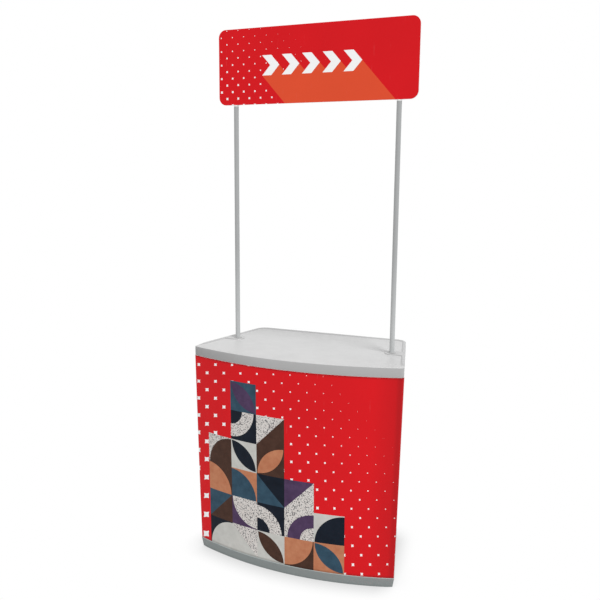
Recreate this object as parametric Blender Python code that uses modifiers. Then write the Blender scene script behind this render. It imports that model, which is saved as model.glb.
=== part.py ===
"""Exhibition counter with a bowed front, an inner shelf and a header sign on two poles.

Metres, +Z up. The origin is on the floor, under the middle of the counter. The front faces -Y.
Run with Blender in background mode, or from its text editor.
"""
import math

import bmesh
import bpy
from mathutils import Matrix

# Plan of the worktop. Every other outline is this one moved inwards.
WORKTOP_WIDTH = 0.850
WORKTOP_REAR_WIDTH = 0.656
WORKTOP_DEPTH = 0.500
FRONT_BOW = 0.074
FRONT_CORNER_RADIUS = 0.012
REAR_CORNER_RADIUS = 0.045
LEAST_CORNER_RADIUS = 0.003

# Worktop
WORKTOP_HEIGHT = 0.854
SKIRT_HEIGHT = 0.036
PLATE_THICKNESS = 0.004
FLANGE_THICKNESS = 0.003
FLANGE_HEIGHT = 0.028
EDGE_RADIUS = 0.0025
LIP_HEIGHT = 0.004
LIP_WIDTH = 0.009
LIP_SLOPE = 0.006
LIP_RUN = 0.060
LOBE_RADIUS = 0.030
LOBE_DROP = 0.0004
RIB_THICKNESS = 0.0025
RIB_DEPTH = 0.016

# Printed panel round the front and sides
WRAP_THICKNESS = 0.002
WRAP_PROUD = 0.001
WRAP_FOOT_INSET = 0.0135
WRAP_RETURN = 0.022

# Slip-on strips at the panel's rear edges
STRIP_WALL = 0.0015
STRIP_GRIP = 0.012
STRIP_END_GAP = 0.003

# Hook-and-loop bands between the panel and the flanges
BAND_THICKNESS = 0.0015
BAND_HEIGHT = 0.020

# Base
BASE_HEIGHT = 0.0385
BASE_LEDGE = 0.0015
BASE_FLOOR_INSET = 0.0175
BASE_WALL = 0.003
BASE_EDGE_RADIUS = 0.0015
BASE_FLOOR_GAP = 0.0015
FOOT_RADIUS = 0.017
FOOT_THICKNESS = 0.003
FOOT_BOSS_WALL = 0.002
FOOT_INSET = 0.055

# Posts inside the counter, in line with the header poles
POLE_EDGE_DISTANCE = 0.052
POLE_SETBACK = 0.233
POST_DIAMETER = 0.025
POST_WALL = 0.0015
SOCKET_WALL = 0.0055
SOCKET_HEIGHT = 0.060
TOP_BOSS_HEIGHT = 0.055
POST_ENGAGEMENT = 0.035

# Shelf
SHELF_TOP_HEIGHT = 0.442
SHELF_THICKNESS = 0.012
SHELF_SIDE_CLEARANCE = 0.003
SLEEVE_WALL = 0.0035
SLEEVE_LENGTH = 0.045
SLEEVE_FLANGE_WIDTH = 0.015
SLEEVE_FLANGE_THICKNESS = 0.003
COLLAR_HEIGHT = 0.014
COLLAR_WALL = 0.006
THUMB_SHANK_RADIUS = 0.0025
THUMB_HEAD_RADIUS = 0.006
THUMB_HEAD_LENGTH = 0.008
SCREW_SHANK_RADIUS = 0.002
SCREW_HEAD_RADIUS = 0.004
SCREW_HEAD_HEIGHT = 0.0022
SCREW_GRIP = 0.007

# Header poles
POLE_DIAMETER = 0.019
POLE_WALL = 0.0015
POLE_TOP_HEIGHT = 1.790
POLE_JOINT_HEIGHT = 1.330
JOINER_LENGTH = 0.120
JOINER_WALL = 0.002
BUSH_WALL = 0.0018
BUSH_FLANGE_WIDTH = 0.004
BUSH_FLANGE_THICKNESS = 0.0015
BUSH_DEPTH = 0.050

# Header
HEADER_OVERHANG = 0.071
HEADER_HEIGHT = 0.285
HEADER_THICKNESS = 0.005
HEADER_CORNER_RADIUS = 0.030
HOLDER_COLLAR_HEIGHT = 0.005
HOLDER_PLUG_LENGTH = 0.040
TONGUE_WIDTH = 0.036
TONGUE_THICKNESS = 0.003
TONGUE_HEIGHT = 0.095
TONGUE_CHAMFER = 0.006
POCKET_WALL = 0.002
POCKET_SIDE_CLEARANCE = 0.0004
POCKET_FLANGE_WIDTH = 0.014
TAPE_THICKNESS = 0.001
TAPE_MARGIN = 0.001

# Clearances and counts
GAP = 0.0003
OVERRUN = 0.001
FRONT_STEPS = 28
FRONT_CORNER_STEPS = 5
REAR_CORNER_STEPS = 7
LIP_STEPS = 4
ROUND_STEPS = 3
TURN_STEPS = 24
SCREW_STEPS = 12
HEADER_CORNER_STEPS = 8
RIBS_ACROSS = 3
RIBS_ALONG = 5
SCREWS_PER_SLEEVE = 3

COLLECTION_NAME = "exhibition_counter"
SIDES = (("left", -1), ("right", 1))

# Levels of the panel and of the flanges that hold it
skirt_z = WORKTOP_HEIGHT - SKIRT_HEIGHT
wrap_top_z = skirt_z - GAP
wrap_foot_z = BASE_HEIGHT + GAP
flange_top_z = BASE_HEIGHT + FLANGE_HEIGHT
flange_foot_z = skirt_z - FLANGE_HEIGHT
strip_top_z = flange_foot_z - STRIP_END_GAP
strip_foot_z = flange_top_z + STRIP_END_GAP


def wrap_inset(height):
    """Inset of the panel's outer face, which draws in evenly from the worktop to the base."""
    down = (wrap_top_z - height) / (wrap_top_z - wrap_foot_z)
    return -WRAP_PROUD + down * (WRAP_FOOT_INSET + WRAP_PROUD)


# Places worked out from the sizes above. The origin is midway between the panel's front and the
# strips on its rear edges.
strip_proud = GAP + STRIP_WALL - wrap_inset(strip_top_z)
rear_y = WORKTOP_DEPTH / 2 - (strip_proud - WRAP_PROUD) / 2
front_y = rear_y - WORKTOP_DEPTH
bow_radius = ((WORKTOP_WIDTH / 2) ** 2 + FRONT_BOW ** 2) / (2 * FRONT_BOW)


def outline(inset):
    """Points round the counter, moved inwards by inset, from the rear middle anticlockwise.

    The front is one wide arc, the sides are straight and draw in to the rear, and the four
    corners are arcs. The point at index 0 is the rear middle, and its neighbours are where the
    panel ends.
    """
    half_front = WORKTOP_WIDTH / 2
    corner_y = front_y + FRONT_BOW
    run_x = WORKTOP_REAR_WIDTH / 2 - half_front
    run_y = rear_y - corner_y
    run = math.hypot(run_x, run_y)
    side_x, side_y = run_x / run, run_y / run
    out_x, out_y = side_y, -side_x
    centre_y = front_y + bow_radius
    arc = bow_radius - inset
    front_r = max(FRONT_CORNER_RADIUS - inset, LEAST_CORNER_RADIUS)
    rear_r = max(REAR_CORNER_RADIUS - inset, LEAST_CORNER_RADIUS)

    start_x = half_front - out_x * (inset + front_r)
    start_y = corner_y - out_y * (inset + front_r) - centre_y
    along = start_x * side_x + start_y * side_y
    rest = start_x ** 2 + start_y ** 2 - (arc - front_r) ** 2
    travel = -along - math.sqrt(along ** 2 - rest)
    corner = (start_x + travel * side_x, start_y + travel * side_y + centre_y)

    rear_line = rear_y - inset - rear_r
    base_x = half_front - out_x * (inset + rear_r)
    base_y = corner_y - out_y * (inset + rear_r)
    rear = (base_x + (rear_line - base_y) / side_y * side_x, rear_line)

    front_angle = math.atan2(corner[1] - centre_y, corner[0])
    side_angle = math.atan2(out_y, out_x)
    half = []
    for step in range(FRONT_STEPS // 2 + 1):
        angle = -math.pi / 2 + (front_angle + math.pi / 2) * step / (FRONT_STEPS // 2)
        half.append((arc * math.cos(angle), centre_y + arc * math.sin(angle)))
    for step in range(1, FRONT_CORNER_STEPS + 1):
        angle = front_angle + (side_angle - front_angle) * step / FRONT_CORNER_STEPS
        half.append((corner[0] + front_r * math.cos(angle), corner[1] + front_r * math.sin(angle)))
    tangent = half[-1]
    for step in range(1, LIP_STEPS + 1):
        far = LIP_RUN * step / LIP_STEPS
        half.append((tangent[0] + side_x * far, tangent[1] + side_y * far))
    for step in range(REAR_CORNER_STEPS + 1):
        angle = side_angle + (math.pi / 2 - side_angle) * step / REAR_CORNER_STEPS
        half.append((rear[0] + rear_r * math.cos(angle), rear[1] + rear_r * math.sin(angle)))
    half.append((rear[0] - WRAP_RETURN, rear_y - inset))
    left = [(-x, y) for x, y in reversed(half)]
    return [(0, rear_y - inset)] + left + half[1:]


def lip_shares():
    """How much of the lip's height each outline point has: none at the front, all behind."""
    flat = FRONT_STEPS // 2 + FRONT_CORNER_STEPS
    shares = []
    for place in range(len(outline(0)) - 1):
        from_front = abs(place - (len(outline(0)) - 2) / 2)
        part = min(max((from_front - flat) / LIP_STEPS, 0), 1)
        shares.append(part * part * (3 - 2 * part))
    return [1] + shares


def ring(inset, height, rise=0):
    """The outline at a height, with the lip's rise added where there is a lip."""
    points = outline(inset)
    return [(x, y, height + rise * share) for (x, y), share in zip(points, lip_shares())]


def half_width(y, inset):
    """Half the counter's width at a depth y, moved inwards by inset."""
    points = outline(inset)
    right = points[len(points) // 2:] + [points[0]]
    best = 0
    for (x0, y0), (x1, y1) in zip(right, right[1:]):
        if min(y0, y1) <= y <= max(y0, y1) and y1 != y0:
            best = max(best, x0 + (x1 - x0) * (y - y0) / (y1 - y0))
    return best


def front_at(x, inset):
    """Depth of the bowed front at x, moved inwards by inset."""
    arc = bow_radius - inset
    return front_y + bow_radius - math.sqrt(arc ** 2 - x ** 2)


# Insets of the two flanges. Each stands inside the panel, with a band between them.
top_band_foot_z = wrap_top_z - GAP - BAND_HEIGHT - GAP
top_band_inset = wrap_inset(top_band_foot_z) + WRAP_THICKNESS + GAP
top_flange_inset = top_band_inset + BAND_THICKNESS + GAP
foot_band_inset = wrap_inset(wrap_foot_z) + WRAP_THICKNESS + GAP
foot_flange_inset = foot_band_inset + BAND_THICKNESS + GAP
wrap_end_x = outline(0)[-1][0]

# Places of the posts, the poles in line with them, the shelf and the header
pole_y = rear_y - POLE_SETBACK
pole_x = half_width(pole_y, 0) - POLE_EDGE_DISTANCE
post_radius = POST_DIAMETER / 2
pole_radius = POLE_DIAMETER / 2
socket_bore = post_radius + GAP
socket_radius = socket_bore + SOCKET_WALL
top_boss_z = WORKTOP_HEIGHT - PLATE_THICKNESS - TOP_BOSS_HEIGHT - POST_ENGAGEMENT
web_z = top_boss_z + POST_ENGAGEMENT
bush_bore = pole_radius + GAP
bush_radius = bush_bore + BUSH_WALL
lobe_z = WORKTOP_HEIGHT + LIP_HEIGHT - LOBE_DROP
bush_foot_z = lobe_z - BUSH_DEPTH
pole_foot_z = bush_foot_z + BUSH_WALL + GAP
shelf_foot_z = SHELF_TOP_HEIGHT - SHELF_THICKNESS
sleeve_foot_z = shelf_foot_z - SLEEVE_LENGTH
header_foot_z = POLE_TOP_HEIGHT + GAP + HOLDER_COLLAR_HEIGHT + GAP
header_rear_y = pole_y - TONGUE_THICKNESS / 2 - GAP


def material(name, colour, roughness, metallic=0):
    made = bpy.data.materials.new(name)
    made.use_nodes = True
    shader = made.node_tree.nodes["Principled BSDF"]
    shader.inputs["Base Color"].default_value = (*colour, 1)
    shader.inputs["Roughness"].default_value = roughness
    shader.inputs["Metallic"].default_value = metallic
    made.diffuse_color = (*colour, 1)
    return made


def collection(name):
    made = bpy.data.collections.new(name)
    bpy.context.scene.collection.children.link(made)
    return made


def clear_scene():
    for old in list(bpy.data.objects):
        bpy.data.objects.remove(old, do_unlink=True)


clear_scene()
parts = collection(COLLECTION_NAME)
cutters = collection(COLLECTION_NAME + "_cutters")

LIGHT_GREY = (0.66, 0.66, 0.66)
BASE_GREY = (0.22, 0.23, 0.23)
finishes = {
    "top": material("moulded_top", LIGHT_GREY, 0.45),
    "base": material("moulded_base", BASE_GREY, 0.5),
    "panel": material("printed_panel", (0.65, 0.014, 0.02), 0.4),
    "header": material("printed_header", (0.65, 0.014, 0.02), 0.4),
    "tube": material("grey_tube", (0.5, 0.51, 0.51), 0.35),
    "steel": material("steel", (0.6, 0.6, 0.6), 0.35, 1),
    "black": material("black_plastic", (0.03, 0.03, 0.03), 0.6),
    "white": material("white_plastic", (0.85, 0.85, 0.84), 0.45),
    "board": material("shelf_board", (0.75, 0.75, 0.74), 0.5),
    "band": material("grip_band", (0.8, 0.8, 0.8), 0.9),
    "rubber": material("foot_rubber", (0.04, 0.04, 0.04), 0.8),
}


def place(name, mesh_data, finish, parent, location=(0, 0, 0), target=None):
    """Put a mesh in the scene as one object of the counter."""
    made = bpy.data.objects.new(name, mesh_data)
    (target or parts).objects.link(made)
    made.location = location
    if finish:
        mesh_data.materials.append(finishes[finish])
    if parent:
        made.parent = parent
    return made


def frame_empty(name, location):
    made = bpy.data.objects.new(name, None)
    parts.objects.link(made)
    made.location = location
    return made


def mesh_of(name, build):
    """A mesh made by a function that fills a bmesh."""
    shape = bmesh.new()
    build(shape)
    bmesh.ops.recalc_face_normals(shape, faces=shape.faces)
    made = bpy.data.meshes.new(name)
    shape.to_mesh(made)
    shape.free()
    return made


def loft(shape, rings):
    """Join rings of equal length with faces and close both ends: a skin over unlike sections."""
    rows = [[shape.verts.new(point) for point in points] for points in rings]
    count = len(rows[0])
    for low, high in zip(rows, rows[1:]):
        for i in range(count):
            j = (i + 1) % count
            shape.faces.new((low[i], low[j], high[j], high[i]))
    shape.faces.new(rows[0])
    shape.faces.new(reversed(rows[-1]))


def band_along_wrap(shape, corners):
    """Sweep a section, given as inset and height pairs, along the panel's open path."""
    rings = [ring(inset, height)[1:] for inset, height in corners]
    loft(shape, [list(section) for section in zip(*rings)])


def add_box(shape, low, high):
    made = bmesh.ops.create_cube(shape, size=1)["verts"]
    size = [b - a for a, b in zip(low, high)]
    middle = [(a + b) / 2 for a, b in zip(low, high)]
    bmesh.ops.scale(shape, vec=size, verts=made)
    bmesh.ops.translate(shape, vec=middle, verts=made)
    return made


def add_cylinder(shape, radius, low, high, x=0, y=0, steps=TURN_STEPS):
    made = bmesh.ops.create_cone(
        shape, cap_ends=True, segments=steps, radius1=radius, radius2=radius, depth=high - low)["verts"]
    bmesh.ops.translate(shape, vec=(x, y, (low + high) / 2), verts=made)
    return made


def turned(name, profile, finish, parent, location, closed=True, steps=TURN_STEPS):
    """A profile of radius and height pairs, turned about the vertical through location."""
    shape = bmesh.new()
    points = [shape.verts.new((radius, 0, height)) for radius, height in profile]
    for a, b in zip(points, points[1:]):
        shape.edges.new((a, b))
    if closed:
        shape.edges.new((points[-1], points[0]))
    data = bpy.data.meshes.new(name)
    shape.to_mesh(data)
    shape.free()
    made = place(name, data, finish, parent, location)
    screw = made.modifiers.new("turn", "SCREW")
    screw.axis = "Z"
    screw.steps = steps
    screw.render_steps = steps
    screw.use_merge_vertices = True
    screw.merge_threshold = GAP / 10
    screw.use_smooth_shade = False
    return made


def tube_profile(outer, inner, low, high):
    return [(outer, high), (outer, low), (inner, low), (inner, high)]


def combine(target, name, build, operation):
    """Add a Boolean with an operand made by a function that fills a bmesh."""
    operand = place(name, mesh_of(name, build), None, None, target=cutters)
    operand.hide_render = True
    operand.display_type = "WIRE"
    step = target.modifiers.new(name, "BOOLEAN")
    step.operation = operation
    step.solver = "EXACT"
    step.object = operand
    return operand


def ribs_across(inset, low, high):
    """Ribs from side to side, evenly spaced between the pole line and both ends."""
    def build(shape):
        first = front_y + FRONT_BOW
        last = rear_y - REAR_CORNER_RADIUS
        for i in range(RIBS_ACROSS):
            y = first + (last - first) * i / (RIBS_ACROSS - 1)
            reach = half_width(y, inset)
            half = RIB_THICKNESS / 2
            add_box(shape, (-reach, y - half, low), (reach, y + half, high))
    return build


def ribs_along(inset, low, high):
    """Ribs from front to back, evenly spaced between the poles."""
    def build(shape):
        span = pole_x - socket_radius - REAR_CORNER_RADIUS
        for i in range(RIBS_ALONG):
            x = -span + 2 * span * i / (RIBS_ALONG - 1)
            half = RIB_THICKNESS / 2
            front = front_at(abs(x), inset)
            add_box(shape, (x - half, front, low), (x + half, rear_y - inset, high))
    return build


def foot_places():
    """Name and middle of each foot: four near the corners, one at the front and one at the rear."""
    inset = BASE_FLOOR_INSET + FOOT_INSET
    front = front_y + FRONT_BOW + FOOT_INSET
    rear = rear_y - inset
    places = {"front_middle": (0, front_y + inset), "rear_middle": (0, rear)}
    for label, side in SIDES:
        places["front_" + label] = (side * half_width(front, inset), front)
        places["rear_" + label] = (side * half_width(rear, inset), rear)
    return places


def make_base(body):
    ledge = WRAP_FOOT_INSET - BASE_LEDGE
    inner = foot_flange_inset + FLANGE_THICKNESS
    cavity = max(BASE_FLOOR_INSET, foot_flange_inset) + BASE_WALL
    rings = [
        ring(inner, BASE_HEIGHT),
        ring(inner, flange_top_z),
        ring(foot_flange_inset, flange_top_z),
        ring(foot_flange_inset, BASE_HEIGHT),
        ring(ledge + BASE_EDGE_RADIUS, BASE_HEIGHT),
        ring(ledge, BASE_HEIGHT - BASE_EDGE_RADIUS),
        ring(BASE_FLOOR_INSET, BASE_FLOOR_GAP + BASE_EDGE_RADIUS),
        ring(BASE_FLOOR_INSET + BASE_EDGE_RADIUS, BASE_FLOOR_GAP),
        ring(cavity, BASE_FLOOR_GAP),
        ring(cavity, BASE_HEIGHT - PLATE_THICKNESS),
    ]
    base = place("base_tray", mesh_of("base_tray", lambda s: loft(s, rings)), "base", body)
    under = BASE_HEIGHT - PLATE_THICKNESS + OVERRUN
    rib_foot = under - OVERRUN - RIB_DEPTH
    combine(base, "base_ribs_across", ribs_across(cavity - OVERRUN, rib_foot, under), "UNION")
    combine(base, "base_ribs_along", ribs_along(cavity - OVERRUN, rib_foot, under), "UNION")

    def foot_bosses(shape):
        for x, y in foot_places().values():
            add_cylinder(shape, FOOT_RADIUS + FOOT_BOSS_WALL, FOOT_THICKNESS + GAP, under, x, y)

    def sockets(shape):
        for _, side in SIDES:
            low = BASE_HEIGHT - OVERRUN
            add_cylinder(shape, socket_radius, low, BASE_HEIGHT + SOCKET_HEIGHT, side * pole_x, pole_y)

    def bores(shape):
        for _, side in SIDES:
            high = BASE_HEIGHT + SOCKET_HEIGHT + OVERRUN
            add_cylinder(shape, socket_bore, BASE_HEIGHT, high, side * pole_x, pole_y)

    combine(base, "base_foot_bosses", foot_bosses, "UNION")
    combine(base, "base_sockets", sockets, "UNION")
    combine(base, "base_bores", bores, "DIFFERENCE")

    for label, (x, y) in foot_places().items():
        name = "foot_" + label
        pad = mesh_of(name, lambda s: add_cylinder(s, FOOT_RADIUS, 0, FOOT_THICKNESS))
        place(name, pad, "rubber", body, (x, y, 0))


def make_panel(body):
    top_outer, foot_outer = wrap_inset(wrap_top_z), wrap_inset(wrap_foot_z)
    corners = [
        (top_outer, wrap_top_z),
        (foot_outer, wrap_foot_z),
        (foot_outer + WRAP_THICKNESS, wrap_foot_z),
        (top_outer + WRAP_THICKNESS, wrap_top_z),
    ]
    place("wrap_panel", mesh_of("wrap_panel", lambda s: band_along_wrap(s, corners)), "panel", body)

    def strip_ring(side, height):
        """Channel section at a height, open towards the counter's side."""
        outer = rear_y - wrap_inset(height)
        end = wrap_end_x
        web = end - GAP - STRIP_WALL
        mouth = end + STRIP_GRIP
        back = outer + GAP + STRIP_WALL
        front = outer - WRAP_THICKNESS - GAP - STRIP_WALL
        section = [
            (web, front), (mouth, front), (mouth, front + STRIP_WALL), (end - GAP, front + STRIP_WALL),
            (end - GAP, back - STRIP_WALL), (mouth, back - STRIP_WALL), (mouth, back), (web, back),
        ]
        return [(side * x, y, height) for x, y in section]

    for label, side in SIDES:
        rings = [strip_ring(side, height) for height in (strip_foot_z, strip_top_z)]
        name = "rear_edge_strip_" + label
        place(name, mesh_of(name, lambda s, rings=rings: loft(s, rings)), "white", body)


def make_band(name, inset, low, body):
    high = low + BAND_HEIGHT
    outer, inner = inset, inset + BAND_THICKNESS
    corners = [(outer, high), (outer, low), (inner, low), (inner, high)]
    place(name, mesh_of(name, lambda s: band_along_wrap(s, corners)), "band", body)


def make_posts(body):
    for label, side in SIDES:
        at = (side * pole_x, pole_y, 0)
        tube = tube_profile(post_radius, post_radius - POST_WALL, BASE_HEIGHT + GAP, web_z - GAP)
        turned("support_post_" + label, tube, "tube", body, at)
        high = sleeve_foot_z - GAP
        low = high - COLLAR_HEIGHT
        ring_profile = tube_profile(socket_bore + COLLAR_WALL, socket_bore, low, high)
        collar = turned("stop_collar_" + label, ring_profile, "black", body, at)

        def screw_hole(shape, side=side, middle=(low + high) / 2):
            reach = socket_bore + COLLAR_WALL + OVERRUN
            made = add_cylinder(shape, THUMB_SHANK_RADIUS + GAP, 0, reach, steps=SCREW_STEPS)
            to_rear = Matrix.Rotation(-math.pi / 2, 3, "X")
            bmesh.ops.rotate(shape, verts=made, cent=(0, 0, 0), matrix=to_rear)
            bmesh.ops.translate(shape, verts=made, vec=(side * pole_x, pole_y, middle))
        combine(collar, "collar_hole_" + label, screw_hole, "DIFFERENCE")

        start = post_radius + GAP
        face = socket_bore + COLLAR_WALL + GAP
        profile = [
            (0, face + THUMB_HEAD_LENGTH), (THUMB_HEAD_RADIUS, face + THUMB_HEAD_LENGTH),
            (THUMB_HEAD_RADIUS, face), (THUMB_SHANK_RADIUS, face),
            (THUMB_SHANK_RADIUS, start), (0, start),
        ]
        at = (side * pole_x, pole_y, (low + high) / 2)
        thumb = turned("collar_screw_" + label, profile, "black", body, at, closed=False, steps=SCREW_STEPS)
        thumb.rotation_euler.x = -math.pi / 2


def sleeve_screw_places():
    """Name and middle of each screw that holds a sleeve to the shelf."""
    around = socket_bore + SLEEVE_WALL + SLEEVE_FLANGE_WIDTH / 2
    places = {}
    for label, side in SIDES:
        for i in range(SCREWS_PER_SLEEVE):
            angle = math.tau * i / SCREWS_PER_SLEEVE + math.pi / 2
            x, y = around * math.cos(angle), around * math.sin(angle)
            places[f"{label}_{i + 1}"] = (side * (pole_x + x), pole_y + y)
    return places


def make_shelf(body):
    sleeve_radius = socket_bore + SLEEVE_WALL
    inset = wrap_inset(shelf_foot_z) + WRAP_THICKNESS + GAP + STRIP_WALL + SHELF_SIDE_CLEARANCE
    rings = [ring(inset, shelf_foot_z), ring(inset, SHELF_TOP_HEIGHT)]
    shelf = place("shelf", mesh_of("shelf", lambda s: loft(s, rings)), "board", body)

    def sleeve_holes(shape):
        for _, side in SIDES:
            low, high = shelf_foot_z - OVERRUN, SHELF_TOP_HEIGHT + OVERRUN
            add_cylinder(shape, sleeve_radius + GAP, low, high, side * pole_x, pole_y)

    def pilot_holes(shape):
        for x, y in sleeve_screw_places().values():
            high = shelf_foot_z + SCREW_GRIP + GAP
            add_cylinder(shape, SCREW_SHANK_RADIUS + GAP, shelf_foot_z - OVERRUN, high, x, y, SCREW_STEPS)

    combine(shelf, "shelf_sleeve_holes", sleeve_holes, "DIFFERENCE")
    combine(shelf, "shelf_pilot_holes", pilot_holes, "DIFFERENCE")

    flange_top = shelf_foot_z - GAP
    flange_foot = flange_top - SLEEVE_FLANGE_THICKNESS
    flange_radius = sleeve_radius + SLEEVE_FLANGE_WIDTH
    for label, side in SIDES:
        profile = [
            (sleeve_radius, SHELF_TOP_HEIGHT), (sleeve_radius, flange_top),
            (flange_radius, flange_top), (flange_radius, flange_foot),
            (sleeve_radius, flange_foot), (sleeve_radius, sleeve_foot_z),
            (socket_bore, sleeve_foot_z), (socket_bore, SHELF_TOP_HEIGHT),
        ]
        at = (side * pole_x, pole_y, 0)
        sleeve = turned("shelf_sleeve_" + label, profile, "white", body, at)

        def flange_holes(shape, side=side):
            for x, y in sleeve_screw_places().values():
                low, high = flange_foot - OVERRUN, flange_top + OVERRUN
                if x * side > 0:
                    add_cylinder(shape, SCREW_SHANK_RADIUS + GAP, low, high, x, y, SCREW_STEPS)
        combine(sleeve, "sleeve_holes_" + label, flange_holes, "DIFFERENCE")

    head_top = flange_foot - GAP
    head_foot = head_top - SCREW_HEAD_HEIGHT
    tip = shelf_foot_z + SCREW_GRIP
    profile = [
        (0, tip), (SCREW_SHANK_RADIUS, tip), (SCREW_SHANK_RADIUS, head_top),
        (SCREW_HEAD_RADIUS, head_top), (SCREW_HEAD_RADIUS, head_foot), (0, head_foot),
    ]
    for label, (x, y) in sleeve_screw_places().items():
        turned("sleeve_screw_" + label, profile, "steel", body, (x, y, 0), closed=False, steps=SCREW_STEPS)


def make_worktop(body):
    inner = top_flange_inset + FLANGE_THICKNESS
    rings = []
    for step in range(LIP_STEPS + 1):
        part = step / LIP_STEPS
        share = part * part * (3 - 2 * part)
        rings.append(ring(LIP_WIDTH + LIP_SLOPE * (1 - part), WORKTOP_HEIGHT, LIP_HEIGHT * share))
    for step in range(ROUND_STEPS + 1):
        angle = math.pi / 2 * step / ROUND_STEPS
        inset = EDGE_RADIUS * (1 - math.sin(angle))
        drop = EDGE_RADIUS * (1 - math.cos(angle))
        rings.append(ring(inset, WORKTOP_HEIGHT - drop, LIP_HEIGHT))
    rings += [
        ring(0, skirt_z),
        ring(top_flange_inset, skirt_z),
        ring(top_flange_inset, flange_foot_z),
        ring(inner, flange_foot_z),
        ring(inner, WORKTOP_HEIGHT - PLATE_THICKNESS),
    ]
    worktop = place("worktop", mesh_of("worktop", lambda s: loft(s, rings)), "top", body)
    under = WORKTOP_HEIGHT - PLATE_THICKNESS + OVERRUN
    rib_foot = under - OVERRUN - RIB_DEPTH
    combine(worktop, "top_ribs_across", ribs_across(inner - OVERRUN, rib_foot, under), "UNION")
    combine(worktop, "top_ribs_along", ribs_along(inner - OVERRUN, rib_foot, under), "UNION")

    def bosses(shape):
        for _, side in SIDES:
            add_cylinder(shape, socket_radius, top_boss_z, under, side * pole_x, pole_y)

    def lobes(shape):
        """Raised feet of the poles, which run out into the side lips."""
        low = WORKTOP_HEIGHT - OVERRUN
        for _, side in SIDES:
            add_cylinder(shape, LOBE_RADIUS, low, lobe_z, side * pole_x, pole_y, 2 * TURN_STEPS)

    def lobe_bridges(shape):
        low = WORKTOP_HEIGHT - OVERRUN
        edge = half_width(pole_y + LOBE_RADIUS, LIP_WIDTH / 2)
        for _, side in SIDES:
            xs = sorted((side * pole_x, side * edge))
            reach = LOBE_RADIUS * math.cos(math.pi / (2 * TURN_STEPS))
            add_box(shape, (xs[0], pole_y - reach, low), (xs[1], pole_y + reach, lobe_z - LOBE_DROP))

    def post_bores(shape):
        for _, side in SIDES:
            add_cylinder(shape, socket_bore, top_boss_z - OVERRUN, web_z, side * pole_x, pole_y)

    def bush_bores(shape):
        for _, side in SIDES:
            low, high = bush_foot_z - GAP, lobe_z + OVERRUN
            add_cylinder(shape, bush_radius + GAP, low, high, side * pole_x, pole_y)

    combine(worktop, "top_bosses", bosses, "UNION")
    combine(worktop, "top_lobes", lobes, "UNION")
    combine(worktop, "top_lobe_bridges", lobe_bridges, "UNION")
    combine(worktop, "top_post_bores", post_bores, "DIFFERENCE")
    combine(worktop, "top_bush_bores", bush_bores, "DIFFERENCE")

    for label, side in SIDES:
        flange_foot = lobe_z + GAP
        flange_top = flange_foot + BUSH_FLANGE_THICKNESS
        flange_radius = bush_radius + BUSH_FLANGE_WIDTH
        profile = [
            (0, bush_foot_z + BUSH_WALL), (bush_bore, bush_foot_z + BUSH_WALL), (bush_bore, flange_top),
            (flange_radius, flange_top), (flange_radius, flange_foot), (bush_radius, flange_foot),
            (bush_radius, bush_foot_z), (0, bush_foot_z),
        ]
        at = (side * pole_x, pole_y, 0)
        turned("socket_bush_" + label, profile, "top", body, at, closed=False)


def make_pole(label, side, lower_body, upper_body):
    at = (0, 0, 0)
    inner = pole_radius - POLE_WALL
    joint = POLE_JOINT_HEIGHT
    lower = tube_profile(pole_radius, inner, pole_foot_z, joint)
    turned("lower_pole_" + label, lower, "tube", lower_body, at)
    joiner_radius = inner - GAP
    low, high = joint - JOINER_LENGTH / 2, joint + JOINER_LENGTH / 2
    joiner = tube_profile(joiner_radius, joiner_radius - JOINER_WALL, low, high)
    turned("pole_joiner_" + label, joiner, "steel", lower_body, at)
    upper = tube_profile(pole_radius, inner, joint + GAP, POLE_TOP_HEIGHT)
    turned("upper_pole_" + label, upper, "tube", upper_body, at)

    collar_foot = POLE_TOP_HEIGHT + GAP
    collar_top = collar_foot + HOLDER_COLLAR_HEIGHT
    profile = [
        (0, collar_top), (pole_radius, collar_top), (pole_radius, collar_foot),
        (joiner_radius, collar_foot), (joiner_radius, POLE_TOP_HEIGHT - HOLDER_PLUG_LENGTH),
        (0, POLE_TOP_HEIGHT - HOLDER_PLUG_LENGTH),
    ]
    holder = turned("header_holder_" + label, profile, "white", upper_body, at, closed=False)

    def tongue(shape):
        half = TONGUE_WIDTH / 2
        low, high = collar_top - OVERRUN, collar_top + TONGUE_HEIGHT
        y0, y1 = pole_y - TONGUE_THICKNESS / 2, pole_y + TONGUE_THICKNESS / 2
        x = side * pole_x
        section = [
            (x - pole_radius / 2, low), (x + pole_radius / 2, low), (x + half, collar_top + GAP),
            (x + half, high - TONGUE_CHAMFER), (x + half - TONGUE_CHAMFER, high),
            (x - half + TONGUE_CHAMFER, high), (x - half, high - TONGUE_CHAMFER),
            (x - half, collar_top + GAP),
        ]
        loft(shape, [[(px, y, pz) for px, pz in section] for y in (y0, y1)])
    combine(holder, "tongue_" + label, tongue, "UNION")


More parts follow.
